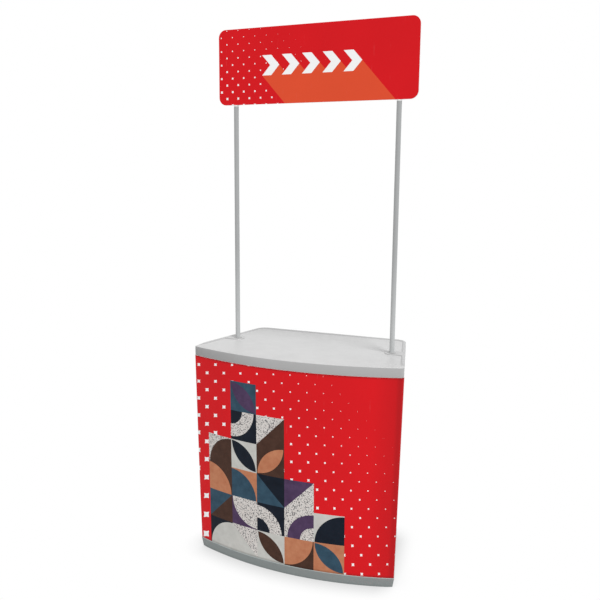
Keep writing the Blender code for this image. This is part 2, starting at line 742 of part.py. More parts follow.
def make_header(body):
    foot = header_foot_z
    front = header_rear_y - HEADER_THICKNESS

    def board(shape):
        half = pole_x + HEADER_OVERHANG
        add_box(shape, (-half, front, foot), (half, header_rear_y, foot + HEADER_HEIGHT))
        corners = [e for e in shape.edges if e.verts[0].co.y != e.verts[1].co.y]
        bmesh.ops.bevel(
            shape, geom=corners, offset=HEADER_CORNER_RADIUS, offset_type="OFFSET", affect="EDGES",
            segments=HEADER_CORNER_STEPS, profile=0.5, material=-1)
    place("header_panel", mesh_of("header_panel", board), "header", body)

    slot = TONGUE_WIDTH / 2 + POCKET_SIDE_CLEARANCE
    wall = slot + POCKET_WALL
    edge = wall + POCKET_FLANGE_WIDTH
    low = foot + GAP
    roof = POLE_TOP_HEIGHT + GAP + HOLDER_COLLAR_HEIGHT + TONGUE_HEIGHT + GAP
    high = roof + POCKET_WALL
    tape_front = header_rear_y + GAP
    tape_back = tape_front + TAPE_THICKNESS
    flange_front = tape_back + GAP
    flange_back = flange_front + POCKET_WALL
    slot_back = pole_y + TONGUE_THICKNESS / 2 + POCKET_SIDE_CLEARANCE
    back = max(slot_back + POCKET_WALL, flange_back + GAP)

    for label, side in SIDES:
        x = side * pole_x
        name = "header_pocket_" + label

        def flanges(shape, x=x):
            add_box(shape, (x - edge, flange_front, low), (x + edge, flange_back, high))
        pocket = place(name, mesh_of(name, flanges), "white", body)

        def hump(shape, x=x):
            add_box(shape, (x - wall, tape_front, low - GAP), (x + wall, back, high + GAP))

        def cavity(shape, x=x):
            mouth = (x - slot, tape_front - OVERRUN, low - OVERRUN)
            add_box(shape, mouth, (x + slot, slot_back, roof))
        combine(pocket, "hump_" + label, hump, "UNION")
        combine(pocket, "cavity_" + label, cavity, "DIFFERENCE")

        for hand, reach in (("inner", -side), ("outer", side)):
            near, far = x + reach * (wall + TAPE_MARGIN), x + reach * edge

            def tape(shape, near=near, far=far):
                left, right = sorted((near, far))
                add_box(shape, (left, tape_front, low), (right, tape_back, high))
            name = f"pocket_tape_{label}_{hand}"
            place(name, mesh_of(name, tape), "band", body)


base_body = frame_empty("base_frame", (0, 0, 0))
worktop_body = frame_empty("worktop_frame", (0, 0, 0))
shelf_body = frame_empty("shelf_frame", (0, 0, 0))
header_body = frame_empty("header_frame", (0, 0, 0))
make_base(base_body)
make_panel(base_body)
make_band("lower_grip_band", foot_band_inset, wrap_foot_z + GAP, base_body)
make_posts(base_body)
make_shelf(shelf_body)
make_worktop(worktop_body)
make_band("upper_grip_band", top_band_inset, top_band_foot_z, worktop_body)
for side_label, side_sign in SIDES:
    lower = frame_empty("lower_pole_frame_" + side_label, (side_sign * pole_x, pole_y, 0))
    upper = frame_empty("upper_pole_frame_" + side_label, (side_sign * pole_x, pole_y, 0))
    make_pole(side_label, side_sign, lower, upper)
make_header(header_body)
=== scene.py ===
"""Looks of an exhibition counter with a bowed front and a header sign on two poles.

Metres, +Z up, front towards -Y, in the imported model's own frame.
"""

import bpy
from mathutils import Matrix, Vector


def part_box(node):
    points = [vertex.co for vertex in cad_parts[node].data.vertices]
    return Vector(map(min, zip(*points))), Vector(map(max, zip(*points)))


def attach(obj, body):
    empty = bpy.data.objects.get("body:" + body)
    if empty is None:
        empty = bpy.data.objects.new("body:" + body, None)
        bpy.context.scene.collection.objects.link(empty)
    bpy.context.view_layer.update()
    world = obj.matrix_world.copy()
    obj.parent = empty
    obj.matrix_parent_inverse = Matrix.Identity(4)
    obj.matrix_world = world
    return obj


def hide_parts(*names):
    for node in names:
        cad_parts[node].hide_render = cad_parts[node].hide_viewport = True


bl_info = {
    "name": "Exhibition Counter",
    "version": (1, 0, 0),
    "blender": (4, 5, 0),
    "location": "View3D > Sidebar > Counter",
    "description": "Builds the finished pieces of an exhibition counter and its studio",
    "category": "Object",
}

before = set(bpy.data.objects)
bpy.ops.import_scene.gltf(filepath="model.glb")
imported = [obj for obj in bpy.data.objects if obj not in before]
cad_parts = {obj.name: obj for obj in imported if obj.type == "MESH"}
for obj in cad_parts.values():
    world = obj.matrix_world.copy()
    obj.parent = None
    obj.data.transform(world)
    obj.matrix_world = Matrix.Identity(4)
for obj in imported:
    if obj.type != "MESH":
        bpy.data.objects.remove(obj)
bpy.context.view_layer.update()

import math

import bmesh
import bpy
from bpy.props import FloatProperty, FloatVectorProperty, PointerProperty
from bpy.types import Operator, Panel, PropertyGroup
from mathutils import Matrix, Vector

SIDES = (("left", -1), ("right", 1))
GAP = 0.0003
OVERRUN = 0.001
MERGE = 0.00001

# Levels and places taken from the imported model
TOP_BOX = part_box("worktop")
PANEL_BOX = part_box("wrap_panel")
SHELF_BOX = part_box("shelf")
STRIP_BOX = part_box("rear_edge_strip_right")
HEADER_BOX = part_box("header_panel")
LOWER_POLE_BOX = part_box("lower_pole_right")
UPPER_POLE_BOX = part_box("upper_pole_right")
JOINER_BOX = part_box("pole_joiner_right")
HOLDER_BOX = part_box("header_holder_right")
POCKET_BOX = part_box("header_pocket_right")
POST_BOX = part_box("support_post_right")
COLLAR_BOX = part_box("stop_collar_right")
SLEEVE_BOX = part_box("shelf_sleeve_right")
BUSH_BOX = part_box("socket_bush_right")
POLE_X = (POST_BOX[0].x + POST_BOX[1].x) / 2
POLE_Y = (POST_BOX[0].y + POST_BOX[1].y) / 2
POLE_RADIUS = LOWER_POLE_BOX[1].x - POLE_X
# Label, sign of x and axis of the post and the pole on each side
POSTS = tuple((label, side, (side * POLE_X, POLE_Y)) for label, side in SIDES)

# Numbers of steps in curves
BOW_STEPS = 24
FRONT_CORNER_STEPS = 6
REAR_CORNER_STEPS = 10
RAMP_STEPS = 8
TURN_STEPS = 64
SCREW_STEPS = 24
HEADER_CORNER_STEPS = 16
PANEL_RISES = 14
ROUND_SEGMENTS = 3
EDGE_SEGMENTS = 2
CREASE_ANGLE = math.radians(28)

# Plan of the counter
LEAST_CORNER = 0.003
LIP_SLOPE = 0.006
LIP_RUN = 0.060

# Worktop
PLATE = 0.004
FLANGE_WALL = 0.003
FLANGE_HEIGHT = 0.028
TOP_FLANGE_INSET = 0.003484
TOP_EDGE_ROUND = 0.0025
LIP_ROUND = 0.0018
SKIRT_ROUND = 0.0010
LOBE_RADIUS = 0.030
LOBE_SLOPE = 0.003
LOBE_DROP = 0.0004
RIB_WALL = 0.0025
RIB_DEPTH = 0.016
RIBS_ACROSS = 3
RIBS_ALONG = 5
POST_ENGAGEMENT = 0.035

# Painted shade and painted highlight on the mouldings: shares of their colour on parts painted darker, and on
# the base's ledge painted lighter
REAR_PAINTED_SHADE = 0.92
SKIRT_PAINTED_SHADE = 0.86
SKIRT_FOOT_PAINTED_SHADE = 0.94
SKIRT_LEFT_PAINTED_SHADE = 0.68
LIP_FOOT_PAINTED_SHADE = 0.78
LIP_CROWN_PAINTED_SHADE = 0.88
LEDGE_PAINTED_HIGHLIGHT = 1.55
BASE_FOOT_PAINTED_SHADE = 0.8
# Painted light on the poles, brighter near the worktop: two heights, and the shares of the colour at them
POLE_PAINTED_LIGHT = (0.87, 1.24, 1.28, 0.92)

# Base
BASE_HEIGHT = 0.0385
BASE_LEDGE_INSET = 0.0120
BASE_FLOOR_INSET = 0.0175
BASE_CAVITY_INSET = 0.0206
BASE_FLOOR_GAP = 0.0015
BASE_ROUND = 0.0015
BASE_FLANGE_INSET = 0.0176
SOCKET_HEIGHT = 0.060
FOOT_BOSS_WALL = 0.002

# Panel and what holds it
PANEL_TOP_INSET = -0.001
PANEL_FOOT_INSET = 0.0135
STRIP_WALL = 0.0015
BAND_WALL = 0.0015
BAND_HEIGHT = 0.020
TOP_BAND_INSET = 0.001684
FOOT_BAND_INSET = 0.0158

# Round pieces
POST_RADIUS = 0.0125
POST_BORE = POST_RADIUS + GAP
POST_WALL = 0.0015
BOSS_RADIUS = POST_BORE + 0.0055
POLE_WALL = 0.0015
JOINER_WALL = 0.002
BUSH_WALL = 0.0018
SLEEVE_RADIUS = POST_BORE + 0.0035
SLEEVE_FLANGE_WIDTH = 0.015
SLEEVE_FLANGE = 0.003
COLLAR_RADIUS = POST_BORE + 0.006
THUMB_SHANK = 0.0025
THUMB_HEAD = 0.006
THUMB_HEAD_LENGTH = 0.008
KNURLS = 24
KNURL_SHARE = 0.94
SCREW_SHANK = 0.002
SCREW_HEAD = 0.004
SCREW_HEAD_HEIGHT = 0.0022
SCREW_GRIP = 0.007
SCREWS_PER_SLEEVE = 3
SHELF_CLEARANCE = 0.003

# Header
TONGUE_WIDTH = 0.036
TONGUE_WALL = 0.003
TONGUE_CHAMFER = 0.006
COLLAR_HEIGHT = 0.005
POCKET_WALL = 0.002
POCKET_CLEARANCE = 0.0004
POCKET_FLANGE = 0.014
TAPE_WALL = 0.001
TAPE_MARGIN = 0.001
HUMP_ROUND = 0.0015

# How the panel's dot grid lies on it: in pitches, as terms of x and of the height
DOTS_ACROSS = (-2.4325, 13.8314, 4.3842, -2.1552, 0.1932, 1.6348)
DOTS_UP = (-6.0003, 11.8988, 2.2811, -2.6305, 1.9604, 1.8188)
DOTS_PER_METRE = 15.5
# Width of a dot in pitches: at the grid's origin, its fall across and up, and its most
PANEL_DOT, PANEL_DOT_ACROSS, PANEL_DOT_UP, PANEL_DOT_MOST = 0.103, 0.0203, 0.0145, 0.345
# How far a dot's sides curve in: shares of the far and the near distance from its middle
DOT_FAR, DOT_NEAR = 1.22, 0.22

# Print under its film
FILM_SPECULAR = 0.08
FILM_ROUGHNESS = 0.38
# Painted shade along the sheet's top and bottom edges and round its right front corner: shares, reaches and
# colour
EDGE_SHADE = 0.42
EDGE_SHADE_REACH = 0.010
CORNER_SHADE = 0.18
CORNER_SHADE_REACH = 0.09
SHADE_COLOUR = (0.02, 0.01, 0.01, 1)

# Block of tiles on the panel
TILE = 0.118
TILES_LEFT = -0.36
TILES_FOOT = 0.0388
TILE_STEPS = (4, 6, 5, 3, 2)
TILE_SEED = 5.0
# Figures in a tile, whose side is one: radius of discs, and middle and half width of rings
DISC_RADIUS = 0.97
RING_RADIUS = 0.68
RING_HALF = 0.22
# Draws above which a triangle, a leaf or a ring takes the disc's place
FIGURE_DRAWS = (0.32, 0.56, 0.76)
SPECK_SCALE = 210
SPECK_LEAST = 0.56
SPECK_COLOUR = (0.12, 0.12, 0.13, 1)
CLOUD_COLOUR = (0.02, 0.02, 0.03, 1)
# Colours of the tiles, and which of them are speckled
TILE_COLOURS = (
    ((0.0091, 0.0144, 0.0252), False),
    ((0.552, 0.231, 0.122), False),
    ((0.73, 0.70, 0.67), True),
    ((0.0395, 0.0887, 0.133), False),
    ((0.61, 0.61, 0.58), False),
    ((0.0887, 0.0513, 0.117), False),
    ((0.0762, 0.0369, 0.0252), False),
)

# Dots on the header: pitches per metre, place of the grid, and width as on the panel
HEADER_DOTS_ACROSS, HEADER_DOTS_LEFT = 20.78, 8.08
HEADER_DOTS_UP, HEADER_DOTS_Z, HEADER_DOTS_FOOT = 19.54, 1.938, -2.2
HEADER_DOT, HEADER_DOT_ACROSS, HEADER_DOT_UP = 0.095, 0.014, 0.021

# Chevrons on the header
CHEVRONS = 5
CHEVRON_X = -0.224
CHEVRON_Z = 1.940
CHEVRON_HEIGHT = 0.075
CHEVRON_PITCH = 0.0824
CHEVRON_ARM = 0.038
CHEVRON_SLOPE = 1.12

# Rounding of sharp edges
FINE_ROUND = 0.0003
PLASTIC_ROUND = 0.0006
BOARD_ROUND = 0.0010

# Shaders: where most of a noise's values lie, and plain colours
NOISE_SPAN = (0.3, 0.7)
BLACK = (0, 0, 0, 1)
WHITE = (1, 1, 1, 1)

# Floor: openness from which it shows plain, share of its painted shadow that a painted wash takes off on its
# right side, and the places in x between which that wash sets in
FLOOR_CLEAR = 0.97
FLOOR_PAINTED_WASH = 0.7
FLOOR_PAINTED_WASH_X = (0.35, 0.42)
FLOOR_SAMPLES = 8


def length(name, description, default):
    return FloatProperty(name=name, description=description, default=default, unit="LENGTH")


def angle(name, description, degrees):
    return FloatProperty(
        name=name, description=description, default=math.radians(degrees), subtype="ANGLE")


def factor(name, description, default):
    return FloatProperty(
        name=name, description=description, default=default, min=0, max=1, subtype="FACTOR")


def paint(name, description, default):
    return FloatVectorProperty(
        name=name, description=description, default=default, subtype="COLOR", size=3, min=0, max=1)


class CounterSizes(PropertyGroup):
    """Sizes that a user would change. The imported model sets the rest."""

    worktop_width: length("Worktop width", "Width across the bowed front", 0.850)
    rear_width: length("Rear width", "Width across the straight back", 0.656)
    front_bow: length("Front bow", "How far the front curves out", 0.074)
    front_corner: length("Front corner", "Radius of the front corners", 0.012)
    rear_corner: length("Rear corner", "Radius of the rear corners", 0.045)
    worktop_height: length("Worktop height", "Height of the flat top", 0.854)
    lip_height: length("Lip height", "Rise of the side and rear lip", 0.004)
    lip_width: length("Lip width", "Width of the lip's flat crown", 0.009)
    panel_wall: length("Panel thickness", "Thickness of the printed sheet", 0.002)
    header_corner: length("Header corner", "Radius of the header's corners", 0.030)


class CounterColours(PropertyGroup):
    """Colours of the mouldings and of the print."""

    worktop: paint("Worktop", "Light grey moulding", (0.455, 0.455, 0.455))
    base: paint("Base", "Mid grey moulding", (0.224, 0.250, 0.248))
    red: paint("Red", "Ground of the print", (0.705, 0.0100, 0.0150))
    orange: paint("Orange", "Band on the header", (0.775, 0.084, 0.032))
    ink_white: paint("White", "Unprinted dots", (0.97, 0.97, 0.97))
    tube: paint("Tube", "Powder coat of the poles", (0.403, 0.413, 0.414))
    white_plastic: paint("White plastic", "Small mouldings", (0.85, 0.85, 0.84))
    black_plastic: paint("Black plastic", "Stop collars and their knobs", (0.022, 0.022, 0.023))
    shelf: paint("Shelf", "Laminate of the shelf", (0.72, 0.72, 0.71))
    band: paint("Grip band", "Hook-and-loop bands", (0.78, 0.78, 0.77))


class CounterStudio(PropertyGroup):
    """Light and camera of the studio."""

    sky: FloatProperty(name="Sky", description="Strength of the even light", default=0.655, min=0)
    key_strength: FloatProperty(
        name="Key strength", description="Strength of the main lamp", default=2.5, min=0)
    key_spread: angle("Key spread", "Angle that the main lamp fills", 16)
    key_rise: angle("Key rise", "Angle of the lamp above the floor", 66)
    key_way: FloatVectorProperty(
        name="Key direction", description="Level direction to the lamp", default=(0.83, -0.56), size=2,
        subtype="DIRECTION")
    shadow_depth: factor("Shadow depth", "How much the floor darkens where it meets the counter", 0.52)
    shadow_reach: length("Shadow reach", "How far that shadow runs out", 0.10)
    floor_white: factor("Floor white", "How much light the floor gives back", 0.62)
    floor_size: length("Floor size", "Width of the floor", 40)
    lens: FloatProperty(name="Lens", description="Focal length", default=42.45, unit="CAMERA")
    camera_place: FloatVectorProperty(
        name="Camera place", description="Where the camera stands", default=(0.983, -2.565, 1.504), size=3,
        subtype="TRANSLATION", unit="LENGTH")
    camera_turn: FloatVectorProperty(
        name="Camera turn", description="Heading, downward tilt and roll", default=(-0.3812, 0.1671, 0.0077),
        size=3, subtype="EULER")


class Plan:
    """The counter's outline seen from above, which every level repeats further in."""

    def __init__(self, sizes):
        self.front_y, self.rear_y = TOP_BOX[0].y, TOP_BOX[1].y
        half = sizes.worktop_width / 2
        self.radius = (half ** 2 + sizes.front_bow ** 2) / (2 * sizes.front_bow)
        self.centre_y = self.front_y + self.radius
        self.corner = Vector((half, self.front_y + sizes.front_bow))
        rear = Vector((sizes.rear_width / 2, self.rear_y))
        self.along = (rear - self.corner).normalized()
        self.out = Vector((self.along.y, -self.along.x))
        self.front_corner = sizes.front_corner
        self.rear_corner = sizes.rear_corner
        self.panel_end = STRIP_BOX[0].x + STRIP_WALL + GAP

    def half_width(self, y, inset):
        """Half the width at a depth, on the straight sides."""
        start = self.corner - self.out * inset
        return start.x + self.along.x * (y - start.y) / self.along.y

    def bow_reach(self, y, inset):
        """Half the width at a depth, on the bowed front."""
        return math.sqrt((self.radius - inset) ** 2 - (self.centre_y - y) ** 2)

    def front_at(self, x, inset):
        return self.centre_y - math.sqrt((self.radius - inset) ** 2 - x ** 2)

    def bow_end(self):
        """Distance along the bow from its middle to the front corner's round."""
        return self.radius * math.asin(self.corners(0)[0].x / self.radius)

    def corners(self, inset):
        """Centre and radius of the front and the rear corner."""
        front_r = max(self.front_corner - inset, LEAST_CORNER)
        rear_r = max(self.rear_corner - inset, LEAST_CORNER)
        start = self.corner - self.out * (inset + front_r) - Vector((0, self.centre_y))
        back = start.dot(self.along)
        rest = start.dot(start) - (self.radius - inset - front_r) ** 2
        travel = -back - math.sqrt(back ** 2 - rest)
        front = start + self.along * travel + Vector((0, self.centre_y))
        start = self.corner - self.out * (inset + rear_r)
        travel = (self.rear_y - inset - rear_r - start.y) / self.along.y
        return front, front_r, start + self.along * travel, rear_r

    def loop(self, shape, inset, height, closed=True):
        """Edges of the outline, drawn as one half and mirrored. An open one ends where the panel does."""
        before = set(shape.verts), set(shape.edges)
        front, _, rear, rear_r = self.corners(inset)
        bow_end = math.atan2(front.y - self.centre_y, front.x)
        side = math.atan2(self.out.y, self.out.x)
        at = shape.verts.new((0, self.front_y + inset, height))
        at = swing(shape, at, (0, self.centre_y), bow_end + math.pi / 2, BOW_STEPS)
        at = swing(shape, at, front, side - bow_end, FRONT_CORNER_STEPS)
        tangent = Vector((at.co.x, at.co.y))
        for step in range(RAMP_STEPS):
            at = draw_to(shape, at, tangent + self.along * LIP_RUN * (step + 1) / RAMP_STEPS)
        at = draw_to(shape, at, rear + self.out * rear_r)
        at = swing(shape, at, rear, math.pi / 2 - side, REAR_CORNER_STEPS)
        at = draw_to(shape, at, (self.panel_end, self.rear_y - inset))
        if closed:
            draw_to(shape, at, (0, self.rear_y - inset))
        half = [v for v in shape.verts if v not in before[0]] + [e for e in shape.edges if e not in before[1]]
        bmesh.ops.mirror(shape, geom=half, matrix=Matrix.Identity(4), merge_dist=MERGE, axis="X")
        return [e for e in shape.edges if e not in before[1]]


def swing(shape, vert, centre, turn, steps):
    """Draw an arc from a vertex about a centre and return its far end."""
    made = bmesh.ops.spin(
        shape, geom=[vert], cent=(*centre, vert.co.z), axis=(0, 0, 1), angle=turn, steps=steps)
    return made["geom_last"][0]


def draw_to(shape, vert, place):
    """Draw a straight edge from a vertex and return its far end."""
    made = bmesh.ops.extrude_vert_indiv(shape, verts=[vert])["verts"][0]
    made.co = (*place[:2], vert.co.z)
    return made


def shell(plan, rings, after=None):
    """Closed outlines of given inset and height, joined by faces, with each one's edge rounded.

    They are joined while they stand a metre apart, because rings in one plane can pair up askew.
    """
    shape = bmesh.new()
    loops = [plan.loop(shape, inset, level) for level, (inset, _, _) in enumerate(rings)]
    for low, high in zip(loops, loops[1:]):
        bmesh.ops.bridge_loops(shape, edges=low + high)
    for loop in (loops[0], loops[-1]):
        bmesh.ops.edgeloop_fill(shape, edges=loop)
    for level, (_, height, _) in enumerate(rings):
        for vert in {v for e in loops[level] for v in e.verts}:
            vert.co.z = height
    if after:
        after(loops)
    for loop, (_, _, rounding) in zip(loops, rings):
        if rounding:
            round_edges(shape, loop, rounding)
    bmesh.ops.recalc_face_normals(shape, faces=shape.faces)
    return shape


def round_edges(shape, edges, width, segments=ROUND_SEGMENTS):
    bmesh.ops.bevel(
        shape, geom=edges, offset=width, offset_type="OFFSET", affect="EDGES",
        segments=segments, profile=0.5, material=-1)


def edges_in_depth(shape):
    """Edges that run from front to back."""
    return [e for e in shape.edges if e.verts[0].co.y != e.verts[1].co.y]


def box(shape, low, high):
    made = bmesh.ops.create_cube(shape, size=1)["verts"]
    bmesh.ops.scale(shape, vec=[b - a for a, b in zip(low, high)], verts=made)
    bmesh.ops.translate(shape, vec=[(a + b) / 2 for a, b in zip(low, high)], verts=made)


def cylinder(shape, radius, low, high, x=0, y=0, steps=TURN_STEPS, slope=0):
    made = bmesh.ops.create_cone(
        shape, cap_ends=True, segments=steps, radius1=radius, radius2=radius - slope,
        depth=high - low)["verts"]
    bmesh.ops.translate(shape, vec=(x, y, (low + high) / 2), verts=made)
    return made


def at_posts(radius, low, high):
    """A function that adds a cylinder on the axis of each post."""
    def build(shape):
        for _, _, axis in POSTS:
            cylinder(shape, radius, low, high, *axis)
    return build


def prism(shape, corners, way):
    """A face through the corners, drawn out along a way."""
    foot = shape.faces.new([shape.verts.new(corner) for corner in corners])
    made = bmesh.ops.extrude_face_region(shape, geom=[foot])["geom"]
    bmesh.ops.translate(shape, verts=[v for v in made if isinstance(v, bmesh.types.BMVert)], vec=way)


def turned(profile, x=0, y=0, steps=TURN_STEPS, hollow=True):
    """A profile of radius and height pairs, turned about the vertical through x and y."""
    shape = bmesh.new()
    points = [shape.verts.new((radius, 0, height)) for radius, height in profile]
    edges = [shape.edges.new(pair) for pair in zip(points, points[1:])]
    if hollow:
        edges.append(shape.edges.new((points[-1], points[0])))
    bmesh.ops.spin(
        shape, geom=points + edges, cent=(0, 0, 0), axis=(0, 0, 1), angle=math.tau, steps=steps,
        use_merge=True)
    bmesh.ops.remove_doubles(shape, verts=shape.verts, dist=MERGE)
    bmesh.ops.recalc_face_normals(shape, faces=shape.faces)
    bmesh.ops.translate(shape, vec=(x, y, 0), verts=shape.verts)
    return shape


def tube(radius, wall, low, high, axis):
    return turned([(radius, high), (radius, low), (radius - wall, low), (radius - wall, high)], *axis)


def as_mesh(name, shape):
    made = bpy.data.meshes.new(name)
    shape.to_mesh(made)
    shape.free()
    return made


def new_shape(build):
    shape = bmesh.new()
    build(shape)
    bmesh.ops.recalc_face_normals(shape, faces=shape.faces)
    return shape


def new_object(name, data):
    made = bpy.data.objects.new(name, data)
    bpy.context.scene.collection.objects.link(made)
    return made


def carved(name, shape, joined=(), cut=()):
    """The shape with tools joined to it and then cut out of it. Each is a function that builds one."""
    body = new_object(name, as_mesh(name, shape))
    tools = []
    for operation, builds in (("UNION", joined), ("DIFFERENCE", cut)):
        for build in builds:
            tools.append(new_object(name + "_tool", as_mesh(name + "_tool", new_shape(build))))
            step = body.modifiers.new("step", "BOOLEAN")
            step.operation, step.solver, step.object = operation, "EXACT", tools[-1]
    evaluated = body.evaluated_get(bpy.context.evaluated_depsgraph_get())
    result = bmesh.new()
    result.from_mesh(evaluated.to_mesh())
    for used in tools + [body]:
        data = used.data
        bpy.data.objects.remove(used)
        bpy.data.meshes.remove(data)
    return result


def finish_piece(name, shape, body, finishes, stands_for=(), rounding=0):
    """Make a piece of a shape, smooth it between its creases, and hand it to the frame."""
    data = as_mesh(name, shape)
    for finish in finishes:
        data.materials.append(finish)
    data.shade_smooth()
    data.set_sharp_from_angle(angle=CREASE_ANGLE)
    made = new_object(name, data)
    if rounding:
        edge = made.modifiers.new("edge", "BEVEL")
        edge.width = rounding
        edge.segments = EDGE_SEGMENTS
        edge.limit_method = "ANGLE"
        edge.angle_limit = CREASE_ANGLE
        edge.harden_normals = True
    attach(made, body)
    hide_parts(*(stands_for or (name,)))


def node_of(operation):
    """A method that adds a Math node to a value and to what else it is given."""
    return lambda self, *others: self.finish.math(operation, self, *others)


class Value:
    """A number in a shader. Each sum, comparison or call on it adds a node."""

    __add__ = node_of("ADD")
    __sub__ = node_of("SUBTRACT")
    __mul__ = node_of("MULTIPLY")
    __truediv__ = node_of("DIVIDE")
    __lt__ = node_of("LESS_THAN")
    __gt__ = node_of("GREATER_THAN")
    __abs__ = node_of("ABSOLUTE")
    __round__ = node_of("ROUND")
    floor = node_of("FLOOR")
    fraction = node_of("FRACT")
    root = node_of("SQRT")
    most = node_of("MAXIMUM")
    least = node_of("MINIMUM")

    def __init__(self, finish, socket):
        self.finish, self.socket = finish, socket

    def __rsub__(self, other):
        return self.finish.math("SUBTRACT", other, self)

    def choose(self, first, second):
        """The first number where this mask is zero, or the second where it is one."""
        return self.finish.math("MULTIPLY_ADD", self, second - first, first)

    def spread(self, low, high, to_low=0, to_high=1):
        """Map a range of values onto another, held at both ends."""
        values = enumerate((self, low, high, to_low, to_high))
        return self.finish.value(0, "ShaderNodeMapRange", values, clamp=True)


class Finish:
    """One material, and short ways to add its shader nodes."""

    def __init__(self, name, roughness, metallic=0.0):
        self.material = bpy.data.materials.new(name)
        self.material.use_nodes = True
        self.nodes = self.material.node_tree.nodes
        self.links = self.material.node_tree.links
        self.shader = self.nodes["Principled BSDF"]
        self.set("Metallic", metallic)
        self.set("Roughness", roughness)
        self.place = self.add("ShaderNodeTexCoord").outputs["Object"]

    def add(self, kind, values=(), **settings):
        made = self.nodes.new(kind)
        for key, value in settings.items():
            setattr(made, key, value)
        for key, value in values:
            self.feed(made.inputs[key], value)
        return made

    def feed(self, socket, value):
        if isinstance(value, Value):
            value = value.socket
        if isinstance(value, bpy.types.NodeSocket):
            self.links.new(value, socket)
        else:
            socket.default_value = value

    def set(self, name, value):
        """Give the surface shader's input a constant or a node's output."""
        self.feed(self.shader.inputs[name], value)

    def value(self, output, kind, values=(), **settings):
        """One output of a new node, as a number."""
        return Value(self, self.add(kind, values, **settings).outputs[output])

    def math(self, operation, *values):
        return self.value(0, "ShaderNodeMath", enumerate(values), operation=operation)

    def blend(self, share, first, second, kind="MIX"):
        """Mix two colours, given as colours or sockets."""
        values = [("Fac", share), ("Color1", first), ("Color2", second)]
        return self.add("ShaderNodeMixRGB", values, blend_type=kind).outputs[0]

    def parts(self, vector):
        return [Value(self, part) for part in self.add("ShaderNodeSeparateXYZ", [(0, vector)]).outputs]

    def noise(self, scale, detail=2.0, roughness=0.5, stretch=None):
        place = self.place
        if stretch:
            place = self.add("ShaderNodeMapping", [("Vector", place), ("Scale", stretch)]).outputs[0]
        values = [("Vector", place), ("Scale", scale), ("Detail", detail), ("Roughness", roughness)]
        return self.value("Fac", "ShaderNodeTexNoise", values)

    def uneven(self, scale, detail, low, high, roughness=0.5):
        """A number that wanders between two others."""
        return self.noise(scale, detail, roughness).spread(*NOISE_SPAN, low, high)

    def cells(self, scale):
        """Distance from the middle of the nearest of small cells."""
        return self.value("Distance", "ShaderNodeTexVoronoi", [("Vector", self.place), ("Scale", scale)])

    def uv(self, name):
        """Across and up of one of the piece's UV maps."""
        return self.parts(self.add("ShaderNodeUVMap", uv_map=name).outputs[0])[:2]

    def ramp(self, value, colours):
        """Equal steps of colour, held up to the next one."""
        made = self.add("ShaderNodeValToRGB", [("Fac", value)])
        steps = made.color_ramp
        steps.interpolation = "CONSTANT"
        for i, colour in enumerate(colours):
            at = i / len(colours)
            stop = steps.elements[0] if i == 0 else steps.elements.new(at)
            stop.position = at
            stop.color = colour
        steps.elements.remove(steps.elements[-1])
        return made.outputs

    def bump(self, height, distance, strength=1.0):
        values = [("Strength", strength), ("Distance", distance), ("Height", height)]
        self.set("Normal", self.add("ShaderNodeBump", values).outputs[0])


def rgba(colour, share=1.0):
    return (*[c * share for c in colour], 1)


def moulded(name, colour, grain, grain_depth, roughness, painted_shading=()):
    """Injection-moulded plastic with a spark-eroded grain, faint flow clouds and hairline scuffs.

    Each entry of the painted shading is a share of the colour, painted shade below one and painted highlight
    above one, and the axes and the places between which it sets in.
    """
    finish = Finish(name, roughness)
    tone = finish.blend(finish.uneven(6, 3, 0, 1), rgba(colour, 0.965), rgba(colour, 1.03))
    hairs = finish.noise(1, 4, 0.65, stretch=(420, 18, 60)).spread(0.66, 0.74)
    scuffs = hairs.most(finish.noise(1, 4, 0.65, stretch=(22, 380, 60)).spread(0.67, 0.75))
    tone = finish.blend(scuffs * 0.16, tone, rgba(colour, 1.25))
    place = finish.parts(finish.place)
    patches = finish.uneven(38, 5, 0.75, 1.15, roughness=0.6)
    # Painted shade and painted highlight, made uneven by the patches
    for light_share, ramps in painted_shading:
        share = patches
        for axis, start, end in ramps:
            share = share * place[axis].spread(start, end)
        tone = finish.blend(share, tone, rgba(colour, light_share))
    finish.set("Base Color", tone)
    gloss = finish.uneven(25, 3, roughness - 0.05, roughness + 0.06)
    finish.set("Roughness", gloss + scuffs * 0.1)
    finish.bump(finish.noise(grain, 2, 0.6), grain_depth, 0.6)
    return finish.material


def coated_tube(name, colour, painted_shading=None):
    """Powder-coated tube with a fine orange peel and faint rub marks along it.

    The painted shading is two heights and the shares of the colour at them: painted light, lighter where the
    share is above one.
    """
    finish = Finish(name, 0.34)
    rubs = finish.noise(1, 4, 0.6, stretch=(160, 160, 5)).spread(0.6, 0.72)
    tone = finish.blend(finish.noise(9, 2), rgba(colour, 0.95), rgba(colour, 1.05))
    tone = finish.blend(rubs * 0.2, tone, rgba(colour, 1.3))
    if painted_shading:
        # Painted light: brighter towards the lower height, near the worktop
        tone = finish.blend(1, tone, finish.parts(finish.place)[2].spread(*painted_shading), "MULTIPLY")
    finish.set("Base Color", tone)
    finish.set("Roughness", finish.uneven(40, 3, 0.29, 0.4))
    finish.bump(finish.noise(1400, 2), 0.00006, 0.5)
    return finish.material


def plated_steel(name):
    """Zinc-plated steel, brushed round."""
    finish = Finish(name, 0.3, 1.0)
    grain = finish.noise(1, 3, 0.6, stretch=(60, 60, 3200))
    finish.set("Base Color", finish.blend(grain, (0.52, 0.52, 0.53, 1), (0.68, 0.68, 0.69, 1)))
    finish.set("Roughness", grain.spread(*NOISE_SPAN, 0.25, 0.42))
    finish.bump(grain, 0.00003, 0.4)
    return finish.material


def fine_plastic(name, colour, roughness, grain=1800):
    """Small plastic mouldings with a fine grain and slightly uneven gloss."""
    finish = Finish(name, roughness)
    finish.set("Base Color", finish.blend(finish.noise(30, 3), rgba(colour, 0.94), rgba(colour, 1.04)))
    finish.set("Roughness", finish.uneven(90, 3, roughness - 0.06, roughness + 0.08))
    finish.bump(finish.noise(grain, 2), 0.00005, 0.5)
    return finish.material


